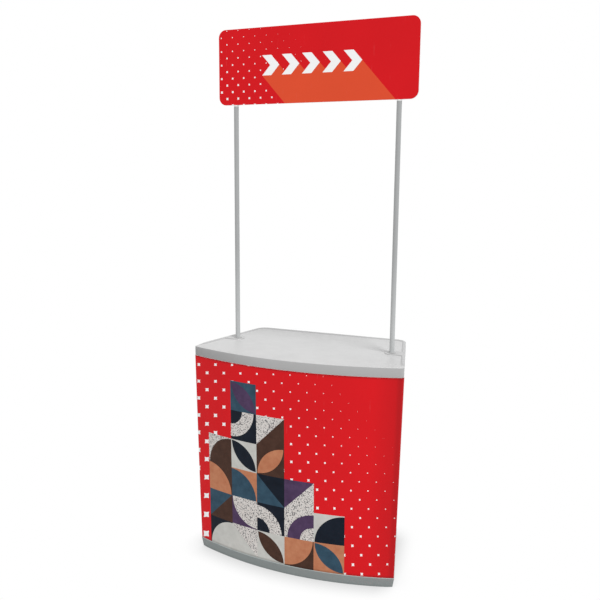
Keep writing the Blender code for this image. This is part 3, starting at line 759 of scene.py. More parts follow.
def laminate(name, colour):
    """Light grey laminate with fine flecks and a pearl texture."""
    finish = Finish(name, 0.42)
    flecks = finish.noise(900, 1).spread(0.62, 0.7)
    marks = finish.noise(14, 5, 0.65).spread(0.52, 0.74, 0, 0.16)
    tone = finish.blend(flecks * 0.22, rgba(colour), rgba(colour, 0.6))
    finish.set("Base Color", finish.blend(marks, tone, rgba(colour, 0.8)))
    finish.set("Roughness", finish.uneven(60, 3, 0.36, 0.5))
    finish.bump(finish.noise(700, 2), 0.00006, 0.5)
    return finish.material


def looped_band(name, colour):
    """Hook-and-loop band: small loops on a woven ground."""
    finish = Finish(name, 0.9)
    loops = finish.cells(620)
    finish.set("Base Color", finish.blend(loops.spread(0, 0.6), rgba(colour, 1.05), rgba(colour, 0.62)))
    finish.bump(loops, 0.0005, 0.8)
    finish.set("Sheen Weight", 0.3)
    return finish.material


def foam(name, colour):
    """Closed-cell foam tape."""
    finish = Finish(name, 0.85)
    cells = finish.cells(1500)
    finish.set("Base Color", finish.blend(cells.spread(0, 0.6), rgba(colour), rgba(colour, 0.75)))
    finish.bump(cells, 0.0002, 0.7)
    return finish.material


def rubber(name):
    """Moulded rubber with grit and a dull bloom."""
    finish = Finish(name, 0.8)
    bloom = finish.noise(120, 4, 0.6).spread(0.4, 0.7)
    finish.set("Base Color", finish.blend(bloom, (0.022, 0.022, 0.023, 1), (0.06, 0.058, 0.055, 1)))
    finish.set("Roughness", bloom.spread(0, 1, 0.68, 0.88))
    finish.bump(finish.noise(1600, 3), 0.0001, 0.6)
    return finish.material


def halftone(across, up, side):
    """Mask of concave-sided squares on two staggered grids one unit apart. side is their width."""
    first, second = (diagonal - round(diagonal) for diagonal in (across + up, across - up))
    x, y = abs(first + second), abs(first - second)
    return x.most(y) * DOT_FAR - x.least(y) * DOT_NEAR < side


class Build:
    """What the operators of the pieces share."""

    def execute(self, context):
        sizes = context.scene.counter_sizes
        self.build(sizes, context.scene.counter_colours, Plan(sizes))
        return {"FINISHED"}


class COUNTER_OT_worktop(Build, Operator):
    """Moulded tray worktop with its skirt, lip, raised pole feet, ribs and bosses"""

    bl_idname = "counter.worktop"
    bl_label = "Worktop"

    def build(self, sizes, colours, plan):
        top = sizes.worktop_height
        crown = top + sizes.lip_height
        lobe_top = crown - LOBE_DROP
        skirt_foot = PANEL_BOX[1].z + GAP
        flange_foot = skirt_foot - FLANGE_HEIGHT
        inner = TOP_FLANGE_INSET + FLANGE_WALL
        under = top - PLATE
        rings = [
            (inner, under, 0),
            (inner, flange_foot, PLASTIC_ROUND),
            (TOP_FLANGE_INSET, flange_foot, PLASTIC_ROUND),
            (TOP_FLANGE_INSET, skirt_foot, 0),
            (0, skirt_foot, SKIRT_ROUND),
            (0, crown, TOP_EDGE_ROUND),
            (sizes.lip_width, crown, LIP_ROUND),
            (sizes.lip_width + LIP_SLOPE, top, LIP_ROUND),
        ]
        ramp_start = plan.corners(0)[0].y

        def lower_front(loops):
            """Let the lip run out to nothing at the front corners."""
            for vert in {v for loop in loops for e in loop for v in e.verts if v.co.z > top + GAP}:
                share = min(max((vert.co.y - ramp_start) / LIP_RUN, 0), 1)
                vert.co.z -= sizes.lip_height * (1 - share * share * (3 - 2 * share))

        def lobes(shape):
            """Raised feet of the poles, each run out into the lip beside it."""
            for _, side, (x, y) in POSTS:
                made = cylinder(shape, LOBE_RADIUS, top - OVERRUN, lobe_top, x, y, slope=LOBE_SLOPE)
                for vert in made:
                    if (vert.co.x - x) * side > MERGE:
                        vert.co.x = side * plan.half_width(vert.co.y, sizes.lip_width / 2)
                crown_edges = [
                    e for e in {e for v in made for e in v.link_edges}
                    if all(v.co.z > top + OVERRUN and abs(v.co.x) < POLE_X + MERGE for v in e.verts)]
                round_edges(shape, crown_edges, OVERRUN, 2)

        low = TOP_BOX[0].z
        bush_hole = POLE_RADIUS + GAP + BUSH_WALL + GAP
        across, along = ribs(plan, inner - OVERRUN, under)
        shape = carved(
            "worktop", shell(plan, rings, after=lower_front),
            joined=[lobes, across, along, at_posts(BOSS_RADIUS, low, under + OVERRUN)],
            cut=[at_posts(POST_BORE, low - OVERRUN, low + POST_ENGAGEMENT),
                 at_posts(bush_hole, BUSH_BOX[0].z - GAP, crown + OVERRUN)])
        half = sizes.worktop_width / 2
        skirt = (2, top - GAP, top - TOP_EDGE_ROUND)
        # Painted shade: darker towards the rear on the left half, on the skirt (most at its left end and
        # towards its foot) and on the lip
        painted_shading = [
            (REAR_PAINTED_SHADE, [(1, 0, plan.rear_y), (0, half / 2, 0)]),
            (SKIRT_PAINTED_SHADE, [skirt]),
            (SKIRT_FOOT_PAINTED_SHADE, [(2, top - TOP_EDGE_ROUND, PANEL_BOX[1].z)]),
            (SKIRT_LEFT_PAINTED_SHADE, [skirt, (0, -half / 5, -half)]),
            (LIP_FOOT_PAINTED_SHADE, [(2, top + GAP, top + 4 * GAP)]),
            (LIP_CROWN_PAINTED_SHADE, [(2, crown - 4 * GAP, crown - 2 * GAP)])]
        finish = moulded("moulded_top_grain", colours.worktop, 950, 0.00012, 0.42, painted_shading)
        finish_piece("worktop_moulding", shape, "worktop", [finish], ["worktop"])

        low, high = BUSH_BOX[0].z, BUSH_BOX[1].z
        bore = POLE_RADIUS + GAP
        flange, flange_foot = BUSH_BOX[1].x - POLE_X, lobe_top + GAP
        profile = [
            (0, low + BUSH_WALL), (bore, low + BUSH_WALL), (bore, high), (flange, high),
            (flange, flange_foot), (bore + BUSH_WALL, flange_foot), (bore + BUSH_WALL, low), (0, low)]
        for label, _, axis in POSTS:
            name = "socket_bush_" + label
            shape = turned(profile, *axis, hollow=False)
            finish_piece(name + "_turned", shape, "worktop", [finish], [name], FINE_ROUND)


def ribs(plan, inset, under):
    """Two functions that build the ribs from side to side and those from front to back."""
    low, high = under - RIB_DEPTH, under + OVERRUN

    def across(shape):
        first, last = plan.corner.y, plan.rear_y - plan.rear_corner
        for i in range(RIBS_ACROSS):
            y = first + (last - first) * i / (RIBS_ACROSS - 1)
            reach = min(plan.half_width(y, inset), plan.bow_reach(y, inset))
            box(shape, (-reach, y - RIB_WALL / 2, low), (reach, y + RIB_WALL / 2, high))

    def along(shape):
        span = POLE_X - BOSS_RADIUS - plan.rear_corner
        for i in range(RIBS_ALONG):
            x = -span + 2 * span * i / (RIBS_ALONG - 1)
            front = plan.front_at(abs(x), inset)
            box(shape, (x - RIB_WALL / 2, front, low), (x + RIB_WALL / 2, plan.rear_y - inset, high))
    return across, along


def foot_middles():
    names = [f"foot_{depth}_{label}" for depth in ("front", "rear") for label in ("left", "middle", "right")]
    return {name: (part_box(name)[0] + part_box(name)[1]) / 2 for name in names}


class COUNTER_OT_base(Build, Operator):
    """Moulded base tray with its ledge, upstand, post sockets, ribs and rubber feet"""

    bl_idname = "counter.base"
    bl_label = "Base"

    def build(self, sizes, colours, plan):
        flange_top = BASE_HEIGHT + FLANGE_HEIGHT
        inner = BASE_FLANGE_INSET + FLANGE_WALL
        under = BASE_HEIGHT - PLATE
        rings = [
            (BASE_CAVITY_INSET, under, 0),
            (BASE_CAVITY_INSET, BASE_FLOOR_GAP, 0),
            (BASE_FLOOR_INSET, BASE_FLOOR_GAP, BASE_ROUND),
            (BASE_LEDGE_INSET, BASE_HEIGHT, BASE_ROUND),
            (BASE_FLANGE_INSET, BASE_HEIGHT, 0),
            (BASE_FLANGE_INSET, flange_top, PLASTIC_ROUND),
            (inner, flange_top, PLASTIC_ROUND),
            (inner, BASE_HEIGHT, 0),
        ]
        feet = foot_middles()
        foot_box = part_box("foot_front_middle")
        radius = (foot_box[1].x - foot_box[0].x) / 2

        def foot_bosses(shape):
            for at in feet.values():
                low, high = foot_box[1].z + GAP, under + OVERRUN
                cylinder(shape, radius + FOOT_BOSS_WALL, low, high, at.x, at.y)

        socket_top = BASE_HEIGHT + SOCKET_HEIGHT
        across, along = ribs(plan, BASE_CAVITY_INSET - OVERRUN, under)
        sockets = at_posts(BOSS_RADIUS, BASE_HEIGHT - OVERRUN, socket_top)
        shape = carved(
            "base", shell(plan, rings), joined=[across, along, foot_bosses, sockets],
            cut=[at_posts(POST_BORE, BASE_HEIGHT, socket_top + OVERRUN)])
        # Painted highlight along the top of the ledge, and painted shade darkening towards the floor
        painted_shading = [
            (LEDGE_PAINTED_HIGHLIGHT, [(2, BASE_HEIGHT - 2 * BASE_ROUND, BASE_HEIGHT - BASE_ROUND)]),
            (BASE_FOOT_PAINTED_SHADE, [(2, BASE_ROUND * 6, 0)])]
        finish = moulded("moulded_base_grain", colours.base, 900, 0.00014, 0.46, painted_shading)
        finish_piece("base_moulding", shape, "base", [finish], ["base_tray"])

        pad = rubber("foot_rubber_grit")
        groove = radius / 4
        profile = [
            (0, foot_box[1].z), (radius, foot_box[1].z), (radius, 0), (2.4 * groove, 0),
            (2.2 * groove, groove / 5), (1.4 * groove, groove / 5), (1.2 * groove, 0), (0, 0)]
        for name, at in feet.items():
            shape = turned(profile, at.x, at.y, SCREW_STEPS * 2, hollow=False)
            finish_piece(name + "_pad", shape, "base", [pad], [name], FINE_ROUND)


def panel_inset(height):
    """Inset of the sheet's outer face, which draws in evenly from the worktop to the base."""
    down = (PANEL_BOX[1].z - height) / (PANEL_BOX[1].z - PANEL_BOX[0].z)
    return PANEL_TOP_INSET + down * (PANEL_FOOT_INSET - PANEL_TOP_INSET)


def distances_round(edges):
    """Distance of each vertex of an open outline from its front middle, negative on the left."""
    verts = {v for e in edges for v in e.verts}
    places = {}
    for _, side in SIDES:
        half = [v for v in verts if v.co.x * side > -MERGE]
        half.sort(key=lambda v: (round(v.co.y, 5), -v.co.x * side))
        far = 0
        for last, vert in zip([half[0]] + half, half):
            far += (vert.co - last.co).length
            places[vert] = side * far
    return places


def dot_place(plan, far, height):
    """Place on the dot grid, in pitches. The grid drifts over the front and runs on along the sides."""
    bow_end = plan.bow_end()
    on_bow = min(max(far, -bow_end), bow_end)
    x = plan.radius * math.sin(on_bow / plan.radius)
    terms = (1, x, x * x, x ** 3, height, x * height)
    across = sum(a * b for a, b in zip(DOTS_ACROSS, terms))
    terms = (1, height, height * height, x, x * x, x * height)
    up = sum(a * b for a, b in zip(DOTS_UP, terms))
    return across + (far - on_bow) * DOTS_PER_METRE, up


def face_outwards(shape):
    """Turn the faces of an open sheet so that its front faces the viewer."""
    bmesh.ops.recalc_face_normals(shape, faces=shape.faces)
    front = min(shape.faces, key=lambda f: f.calc_center_median().y)
    if front.normal.y > 0:
        bmesh.ops.reverse_faces(shape, faces=shape.faces)


def sheet(plan, levels, inset_at, wall):
    """A sheet round the front and sides, with a UV map in metres and one in dot pitches.

    It is thickened inwards, with the second finish on the inside and the edges.
    """
    shape = bmesh.new()
    metres = shape.loops.layers.uv.new("sheet")
    pitches = shape.loops.layers.uv.new("dots")
    loops, places = [], {}
    for height in levels:
        loops.append(plan.loop(shape, inset_at(height), height, closed=False))
        places.update(distances_round(loops[-1]))
    for low, high in zip(loops, loops[1:]):
        bmesh.ops.bridge_loops(shape, edges=low + high)
    face_outwards(shape)
    for face in shape.faces:
        for corner in face.loops:
            far, height = places[corner.vert], corner.vert.co.z
            corner[metres].uv = far, height
            corner[pitches].uv = dot_place(plan, far, height)
    outside = set(shape.faces)
    bmesh.ops.solidify(shape, geom=shape.faces[:], thickness=wall)
    for face in shape.faces:
        face.material_index = 0 if face in outside else 1
    return shape


def tile_block(finish, across, up):
    """Mask and colour of a stepped block of tiles: quarter discs, triangles, leaves and quarter rings."""
    places = (across - TILES_LEFT) / TILE, (up - TILES_FOOT) / TILE
    column, row = (place.floor() for place in places)
    cell = finish.add("ShaderNodeCombineXYZ", enumerate((column, row, TILE_SEED))).outputs[0]
    chance = finish.add("ShaderNodeTexWhiteNoise", [("Vector", cell)]).outputs
    draws = finish.parts(chance["Color"])
    x, y = (abs(place.fraction() - (draw > 0.5)) for place, draw in zip(places, draws))
    corner = (x * x + y * y).root()
    dx, dy = x - 1, y - 1
    opposite = (dx * dx + dy * dy).root()
    figures = (x + y < 1, corner.most(opposite) < DISC_RADIUS, abs(corner - RING_RADIUS) < RING_HALF)
    figure = corner < DISC_RADIUS
    for other, least in zip(figures, FIGURE_DRAWS):
        figure = (draws[2] > least).choose(figure, other)

    ground = column * 2 + row * 3
    index = ground + figure * ((Value(finish, chance["Value"]) * 3).floor() + 2)
    palette = finish.ramp(
        ((index + 0.5) / len(TILE_COLOURS)).fraction(),
        [(*colour, 0 if speckled else 1) for colour, speckled in TILE_COLOURS])
    specks = (finish.noise(SPECK_SCALE, 3, 0.6) > SPECK_LEAST) * (1 - Value(finish, palette["Alpha"]))
    tone = finish.blend(specks, palette["Color"], SPECK_COLOUR)
    clouds = finish.noise(34, 4, 0.6).spread(0.35, 0.7, 0, 0.35)
    tone = finish.blend(clouds, tone, CLOUD_COLOUR, "SOFT_LIGHT")

    columns, highest = len(TILE_STEPS), max(TILE_STEPS)
    steps = finish.ramp((column + 0.5) / columns, [(step / highest,) * 3 + (1,) for step in TILE_STEPS])
    limit = finish.parts(steps["Color"])[0] * highest
    mask = (column > -0.5) * (column < columns - 0.5) * (row > -0.5) * (row < limit - 0.5)
    return mask, tone


def shaded(finish, picture, along, start, end, share):
    """The print, darkened by up to a share as the value along it goes from start to end."""
    return finish.blend(along.spread(start, end, 0, share), picture, SHADE_COLOUR)


def printed_film(finish, picture):
    """Print under a matt film: slight ink clouds, fine film texture and a few faint rubs."""
    inked = finish.blend(finish.uneven(5, 3, 0, 0.05), picture, BLACK)
    rubs = finish.noise(1, 4, 0.6, stretch=(140, 140, 9)).spread(0.68, 0.78, 0, 0.05)
    finish.set("Base Color", finish.blend(rubs, inked, WHITE))
    finish.set("Roughness", finish.uneven(55, 3, FILM_ROUGHNESS - 0.04, FILM_ROUGHNESS + 0.06))
    finish.bump(finish.noise(1500, 2), 0.00004, 0.5)
    finish.set("Specular IOR Level", FILM_SPECULAR)


class COUNTER_OT_panel(Build, Operator):
    """Printed plastic sheet round the front and sides, white inside"""

    bl_idname = "counter.panel"
    bl_label = "Printed panel"

    def build(self, sizes, colours, plan):
        low, high = PANEL_BOX[0].z, PANEL_BOX[1].z
        levels = [low + (high - low) * i / PANEL_RISES for i in range(PANEL_RISES + 1)]
        finish = Finish("panel_print", 0.4)
        across, up = finish.uv("dots")
        side = PANEL_DOT - across * PANEL_DOT_ACROSS - up * PANEL_DOT_UP
        dots = halftone(across, up, side.least(PANEL_DOT_MOST))
        picture = finish.blend(dots, rgba(colours.red), rgba(colours.ink_white))
        across, height = finish.uv("sheet")
        mask, tiles = tile_block(finish, across, height)
        picture = finish.blend(mask, picture, tiles)
        # Painted shade: darker along the top and bottom edges and round the right front corner
        for edge, inside in ((high, high - EDGE_SHADE_REACH), (low, low + EDGE_SHADE_REACH)):
            picture = shaded(finish, picture, height, inside, edge, EDGE_SHADE)
        slope = (panel_inset(low) - panel_inset(high)) / (high - low)
        along = finish.math("MULTIPLY_ADD", height, -slope, across)
        round_half = sizes.front_corner / 2
        away = abs(along - (plan.bow_end() + round_half - high * slope))
        for reach in (CORNER_SHADE_REACH + round_half, 3 * round_half):
            picture = shaded(finish, picture, away, reach, round_half, CORNER_SHADE)
        printed_film(finish, picture)
        bare = fine_plastic("panel_bare", colours.white_plastic, 0.42)
        finish_piece(
            "wrap_panel_sheet", sheet(plan, levels, panel_inset, sizes.panel_wall), "base",
            [finish.material, bare], ["wrap_panel"])


class COUNTER_OT_strips(Build, Operator):
    """Slip-on channels that stiffen the panel's rear edges"""

    bl_idname = "counter.strips"
    bl_label = "Rear edge strips"

    def build(self, sizes, colours, plan):
        finish = fine_plastic("strip_plastic", colours.white_plastic, 0.4)
        low, high = STRIP_BOX[0].z, STRIP_BOX[1].z
        web, mouth = STRIP_BOX[0].x, STRIP_BOX[1].x
        end = web + STRIP_WALL
        back = plan.rear_y - panel_inset(low) + GAP + STRIP_WALL
        front = back - 2 * (GAP + STRIP_WALL) - sizes.panel_wall
        section = [
            (web, front), (mouth, front), (mouth, front + STRIP_WALL), (end, front + STRIP_WALL),
            (end, back - STRIP_WALL), (mouth, back - STRIP_WALL), (mouth, back), (web, back)]
        lean = panel_inset(low) - panel_inset(high)
        for label, side in SIDES:
            corners = [(side * x, y, low) for x, y in section]
            shape = new_shape(lambda made: prism(made, corners, (0, lean, high - low)))
            name = "rear_edge_strip_" + label
            finish_piece(name + "_channel", shape, "base", [finish], [name], FINE_ROUND)


class COUNTER_OT_bands(Build, Operator):
    """Hook-and-loop bands between the panel and the flanges"""

    bl_idname = "counter.bands"
    bl_label = "Grip bands"

    def build(self, sizes, colours, plan):
        finish = looped_band("band_loops", colours.band)
        for name, body, inset in (
                ("lower_grip_band", "base", FOOT_BAND_INSET), ("upper_grip_band", "worktop", TOP_BAND_INSET)):
            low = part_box(name)[0].z
            shape = sheet(plan, (low, low + BAND_HEIGHT), lambda height: inset, BAND_WALL)
            finish_piece(name + "_pile", shape, body, [finish, finish], [name])


def point_back(shape, axis, height):
    """Turn what stands on the origin to point to the rear, at a post's axis and a height."""
    verts = shape.verts
    bmesh.ops.rotate(shape, verts=verts, cent=(0, 0, 0), matrix=Matrix.Rotation(-math.pi / 2, 3, "X"))
    bmesh.ops.translate(shape, verts=verts, vec=(*axis, height))


class COUNTER_OT_posts(Build, Operator):
    """Posts inside the counter, with their stop collars and thumb screws"""

    bl_idname = "counter.posts"
    bl_label = "Posts and collars"

    def build(self, sizes, colours, plan):
        coat = coated_tube("post_coat", colours.tube)
        black = fine_plastic("collar_plastic", colours.black_plastic, 0.5)
        rim = COLLAR_RADIUS
        low, high = COLLAR_BOX[0].z, COLLAR_BOX[1].z
        middle = (low + high) / 2
        step = PLASTIC_ROUND * 2
        ring_profile = [
            (rim, high - step), (rim - step, high), (POST_BORE, high), (POST_BORE, low), (rim - step, low),
            (rim, low + step)]
        face = rim + GAP
        end = face + THUMB_HEAD_LENGTH
        neck = THUMB_HEAD * 0.75
        knob_profile = [
            (0, end), (neck, end), (THUMB_HEAD, end - OVERRUN), (THUMB_HEAD, face + OVERRUN),
            (neck, face), (THUMB_SHANK, face), (THUMB_SHANK, POST_BORE), (0, POST_BORE)]
        for label, _, axis in POSTS:
            name = "support_post_" + label
            shape = tube(POST_RADIUS, POST_WALL, POST_BOX[0].z, POST_BOX[1].z, axis)
            finish_piece(name + "_tube", shape, "base", [coat], [name], FINE_ROUND)

            def screw_hole(tool):
                cylinder(tool, THUMB_SHANK + GAP, 0, rim + OVERRUN, steps=SCREW_STEPS)
                point_back(tool, axis, middle)

            name = "stop_collar_" + label
            ring = carved(name + "_blank", turned(ring_profile, *axis), cut=[screw_hole])
            finish_piece(name + "_ring", ring, "base", [black], [name], FINE_ROUND)

            name = "collar_screw_" + label
            knob = turned(knob_profile, steps=2 * KNURLS, hollow=False)
            for vert in knob.verts:
                turn = round(math.atan2(vert.co.y, vert.co.x) / (math.pi / KNURLS))
                if turn % 2 and math.hypot(vert.co.x, vert.co.y) > neck + GAP:
                    vert.co.x *= KNURL_SHARE
                    vert.co.y *= KNURL_SHARE
            point_back(knob, axis, middle)
            finish_piece(name + "_knob", knob, "base", [black], [name])


def sleeve_screw_places(side):
    around = SLEEVE_RADIUS + SLEEVE_FLANGE_WIDTH / 2
    angles = [math.tau * i / SCREWS_PER_SLEEVE + math.pi / 2 for i in range(SCREWS_PER_SLEEVE)]
    return [(side * (POLE_X + around * math.cos(a)), POLE_Y + around * math.sin(a)) for a in angles]


class COUNTER_OT_shelf(Build, Operator):
    """Shelf on its two flanged sleeves, with the screws from below"""

    bl_idname = "counter.shelf"
    bl_label = "Shelf"

    def build(self, sizes, colours, plan):
        foot, top = SHELF_BOX[0].z, SHELF_BOX[1].z
        sleeve_foot = SLEEVE_BOX[0].z
        inset = panel_inset(foot) + sizes.panel_wall + GAP + STRIP_WALL + SHELF_CLEARANCE
        outer = SLEEVE_RADIUS

        def screw_holes(shape):
            for _, side in SIDES:
                for place in sleeve_screw_places(side):
                    cylinder(
                        shape, SCREW_SHANK + GAP, sleeve_foot, foot + SCREW_GRIP + GAP, *place, SCREW_STEPS)

        shape = carved(
            "shelf_blank", shell(plan, [(inset, foot, BOARD_ROUND), (inset, top, BOARD_ROUND)]),
            cut=[at_posts(outer + GAP, foot - OVERRUN, top + OVERRUN), screw_holes])
        board = laminate("shelf_laminate", colours.shelf)
        finish_piece("shelf_board", shape, "shelf", [board], ["shelf"])

        plastic = fine_plastic("sleeve_plastic", colours.white_plastic, 0.4)
        steel = plated_steel("screw_steel")
        flange_top = foot - GAP
        flange_foot = flange_top - SLEEVE_FLANGE
        flange = outer + SLEEVE_FLANGE_WIDTH
        sleeve_profile = [
            (outer, top), (outer, flange_top), (flange, flange_top), (flange, flange_foot),
            (outer, flange_foot), (outer, sleeve_foot), (POST_BORE, sleeve_foot), (POST_BORE, top)]
        head_top = flange_foot - GAP
        head_foot = head_top - SCREW_HEAD_HEIGHT
        tip = foot + SCREW_GRIP
        step = SCREW_HEAD_HEIGHT / 3
        screw_profile = [
            (0, tip), (SCREW_SHANK / 3, tip), (SCREW_SHANK, tip - step), (SCREW_SHANK, head_top),
            (SCREW_HEAD, head_top), (SCREW_HEAD, head_foot + step * 2), (SCREW_HEAD * 0.9, head_foot + step),
            (SCREW_HEAD * 0.6, head_foot), (0, head_foot)]
        slot = Vector((SCREW_HEAD * 0.5, SCREW_SHANK / 5))
        slot_top = head_foot + SCREW_HEAD_HEIGHT * 2 / 3
        for label, side, axis in POSTS:
            name = "shelf_sleeve_" + label
            sleeve = carved(name + "_blank", turned(sleeve_profile, *axis), cut=[screw_holes])
            finish_piece(name + "_flanged", sleeve, "shelf", [plastic], [name], FINE_ROUND)
            for i, (x, y) in enumerate(sleeve_screw_places(side)):
                name = f"sleeve_screw_{label}_{i + 1}"
                blank = turned(screw_profile, x, y, SCREW_STEPS, hollow=False)
                slots = [
                    lambda tool, a=a, b=b: box(
                        tool, (x - a, y - b, head_foot - OVERRUN), (x + a, y + b, slot_top))
                    for a, b in (slot, slot.yx)]
                screw = carved(name + "_blank", blank, cut=slots)
                finish_piece(name + "_turned", screw, "shelf", [steel], [name])


class COUNTER_OT_poles(Build, Operator):
    """Header poles in two sections, with their joiners and the holders on top"""

    bl_idname = "counter.poles"
    bl_label = "Poles"

    def build(self, sizes, colours, plan):
        coat = coated_tube("pole_coat", colours.tube, POLE_PAINTED_LIGHT)
        steel = plated_steel("joiner_steel")
        plastic = fine_plastic("holder_plastic", colours.white_plastic, 0.38)
        radius, plug = POLE_RADIUS, JOINER_BOX[1].x - POLE_X
        foot, high = HOLDER_BOX[0].z, HOLDER_BOX[1].z
        collar_foot = UPPER_POLE_BOX[1].z + GAP
        collar_top = collar_foot + COLLAR_HEIGHT
        profile = [
            (0, collar_top), (radius, collar_top), (radius, collar_foot), (plug, collar_foot), (plug, foot),
            (0, foot)]
        half = TONGUE_WIDTH / 2
        tongue_half = [
            (radius / 2, collar_top - OVERRUN), (half, collar_top + GAP), (half, high - TONGUE_CHAMFER),
            (half - TONGUE_CHAMFER, high)]
        section = [(-radius / 2, collar_top - OVERRUN)] + tongue_half
        section += [(-x, z) for x, z in reversed(tongue_half[1:])]
        for label, _, (x, y) in POSTS:
            for kind, bounds, wall, finish, slot, body in (
                    ("lower_pole_", LOWER_POLE_BOX, POLE_WALL, coat, "grey_tube", "_lower_pole"),
                    ("pole_joiner_", JOINER_BOX, JOINER_WALL, steel, "steel", "_lower_pole"),
                    ("upper_pole_", UPPER_POLE_BOX, POLE_WALL, coat, "grey_tube", "_upper_pole")):
                name = kind + label
                shape = tube(bounds[1].x - POLE_X, wall, bounds[0].z, bounds[1].z, (x, y))
                finish_piece(name + "_tube", shape, label + body, [finish], [name], FINE_ROUND)

            def tongue(shape):
                corners = [(x + across, y - TONGUE_WALL / 2, up) for across, up in section]
                prism(shape, corners, (0, TONGUE_WALL, 0))

            name = "header_holder_" + label
            shape = carved(name + "_blank", turned(profile, x, y, hollow=False), joined=[tongue])
            body = label + "_upper_pole"
            finish_piece(name + "_moulding", shape, body, [plastic], [name], FINE_ROUND)


def header_picture(finish, colours):
    """Row of plain chevrons with a long diagonal shadow, on dots that fade out to the right."""
    x, _, z = finish.parts(finish.place)
    across = x * HEADER_DOTS_ACROSS + HEADER_DOTS_LEFT
    up = (z - HEADER_DOTS_Z) * HEADER_DOTS_UP + HEADER_DOTS_FOOT
    dots = halftone(across, up, HEADER_DOT - up * HEADER_DOT_UP - across * HEADER_DOT_ACROSS)
    picture = finish.blend(dots, rgba(colours.red), rgba(colours.ink_white))

    rise, start = z - CHEVRON_Z, x - CHEVRON_X
    count = (start + abs(rise) / CHEVRON_SLOPE) / CHEVRON_PITCH
    index = count.floor()
    in_row = abs(rise) < CHEVRON_HEIGHT / 2
    in_arm = count.fraction() > 1 - CHEVRON_ARM / CHEVRON_PITCH
    in_run, after_first = (abs(index - (CHEVRONS + i) / 2) < CHEVRONS / 2 for i in (-1, 1))
    chevrons = in_row * in_arm * in_run

    past = start / CHEVRON_PITCH - index
    beside = (past < rise * -1 / (CHEVRON_SLOPE * CHEVRON_PITCH)) * in_row * after_first
    diagonal = x * CHEVRON_SLOPE + z
    tip = (CHEVRON_X + CHEVRONS * CHEVRON_PITCH) * CHEVRON_SLOPE + CHEVRON_Z
    tail = (CHEVRON_X + CHEVRON_PITCH - CHEVRON_ARM) * CHEVRON_SLOPE + CHEVRON_Z - CHEVRON_HEIGHT
    below = (rise < -CHEVRON_HEIGHT / 2) * (diagonal < tip) * (diagonal > tail)
    picture = finish.blend(beside.most(below), picture, rgba(colours.orange))
    return finish.blend(chevrons, picture, rgba(colours.ink_white))


class COUNTER_OT_header(Build, Operator):
    """Printed header board with its two pockets and their tapes"""

    bl_idname = "counter.header"
    bl_label = "Header"

    def build(self, sizes, colours, plan):
        finish = Finish("header_print", 0.4)
        printed_film(finish, header_picture(finish, colours))
        core = fine_plastic("header_core", colours.white_plastic, 0.45)

        def board(shape):
            box(shape, *HEADER_BOX)
            round_edges(shape, edges_in_depth(shape), sizes.header_corner, HEADER_CORNER_STEPS)

        shape = new_shape(board)
        for face in shape.faces:
            face.material_index = 0 if face.normal.y < -0.5 else 1
        finish_piece(
            "header_board", shape, "header", [finish.material, core], ["header_panel"],
            FINE_ROUND)

        plastic = fine_plastic("pocket_plastic", colours.white_plastic, 0.4)
        tape = foam("pocket_foam", colours.band)
        slot = TONGUE_WIDTH / 2 + POCKET_CLEARANCE
        wall = slot + POCKET_WALL
        edge = wall + POCKET_FLANGE
        low, high = HEADER_BOX[0].z + GAP, HOLDER_BOX[1].z + GAP + POCKET_WALL
        front, back = HEADER_BOX[1].y + GAP, POCKET_BOX[1].y
        flange_front = front + TAPE_WALL + GAP
        slot_back = POLE_Y + TONGUE_WALL / 2 + POCKET_CLEARANCE
        for label, side, (x, _) in POSTS:
            def flanges(shape):
                box(shape, (x - edge, flange_front, low), (x + edge, flange_front + POCKET_WALL, high))
                round_edges(shape, edges_in_depth(shape), POCKET_WALL)

            def hump(shape):
                box(shape, (x - wall, front, low - GAP), (x + wall, back, high + GAP))
                backs = [e for e in shape.edges if all(v.co.y > slot_back for v in e.verts)]
                round_edges(shape, backs, HUMP_ROUND)

            def cavity(shape):
                mouth = (x - slot, front - OVERRUN, low - OVERRUN)
                box(shape, mouth, (x + slot, slot_back, high - POCKET_WALL))

            name = "header_pocket_" + label
            shape = carved(name + "_blank", new_shape(flanges), joined=[hump], cut=[cavity])
            finish_piece(name + "_moulding", shape, "header", [plastic], [name], FINE_ROUND)
            for hand, reach in (("inner", -side), ("outer", side)):
                near, far = sorted((x + reach * (wall + TAPE_MARGIN), x + reach * edge))
                name = f"pocket_tape_{label}_{hand}"
                strip = bmesh.new()
                box(strip, (near, front, low), (far, front + TAPE_WALL, high))
                finish_piece(name + "_foam", strip, "header", [tape], [name], FINE_ROUND / 2)


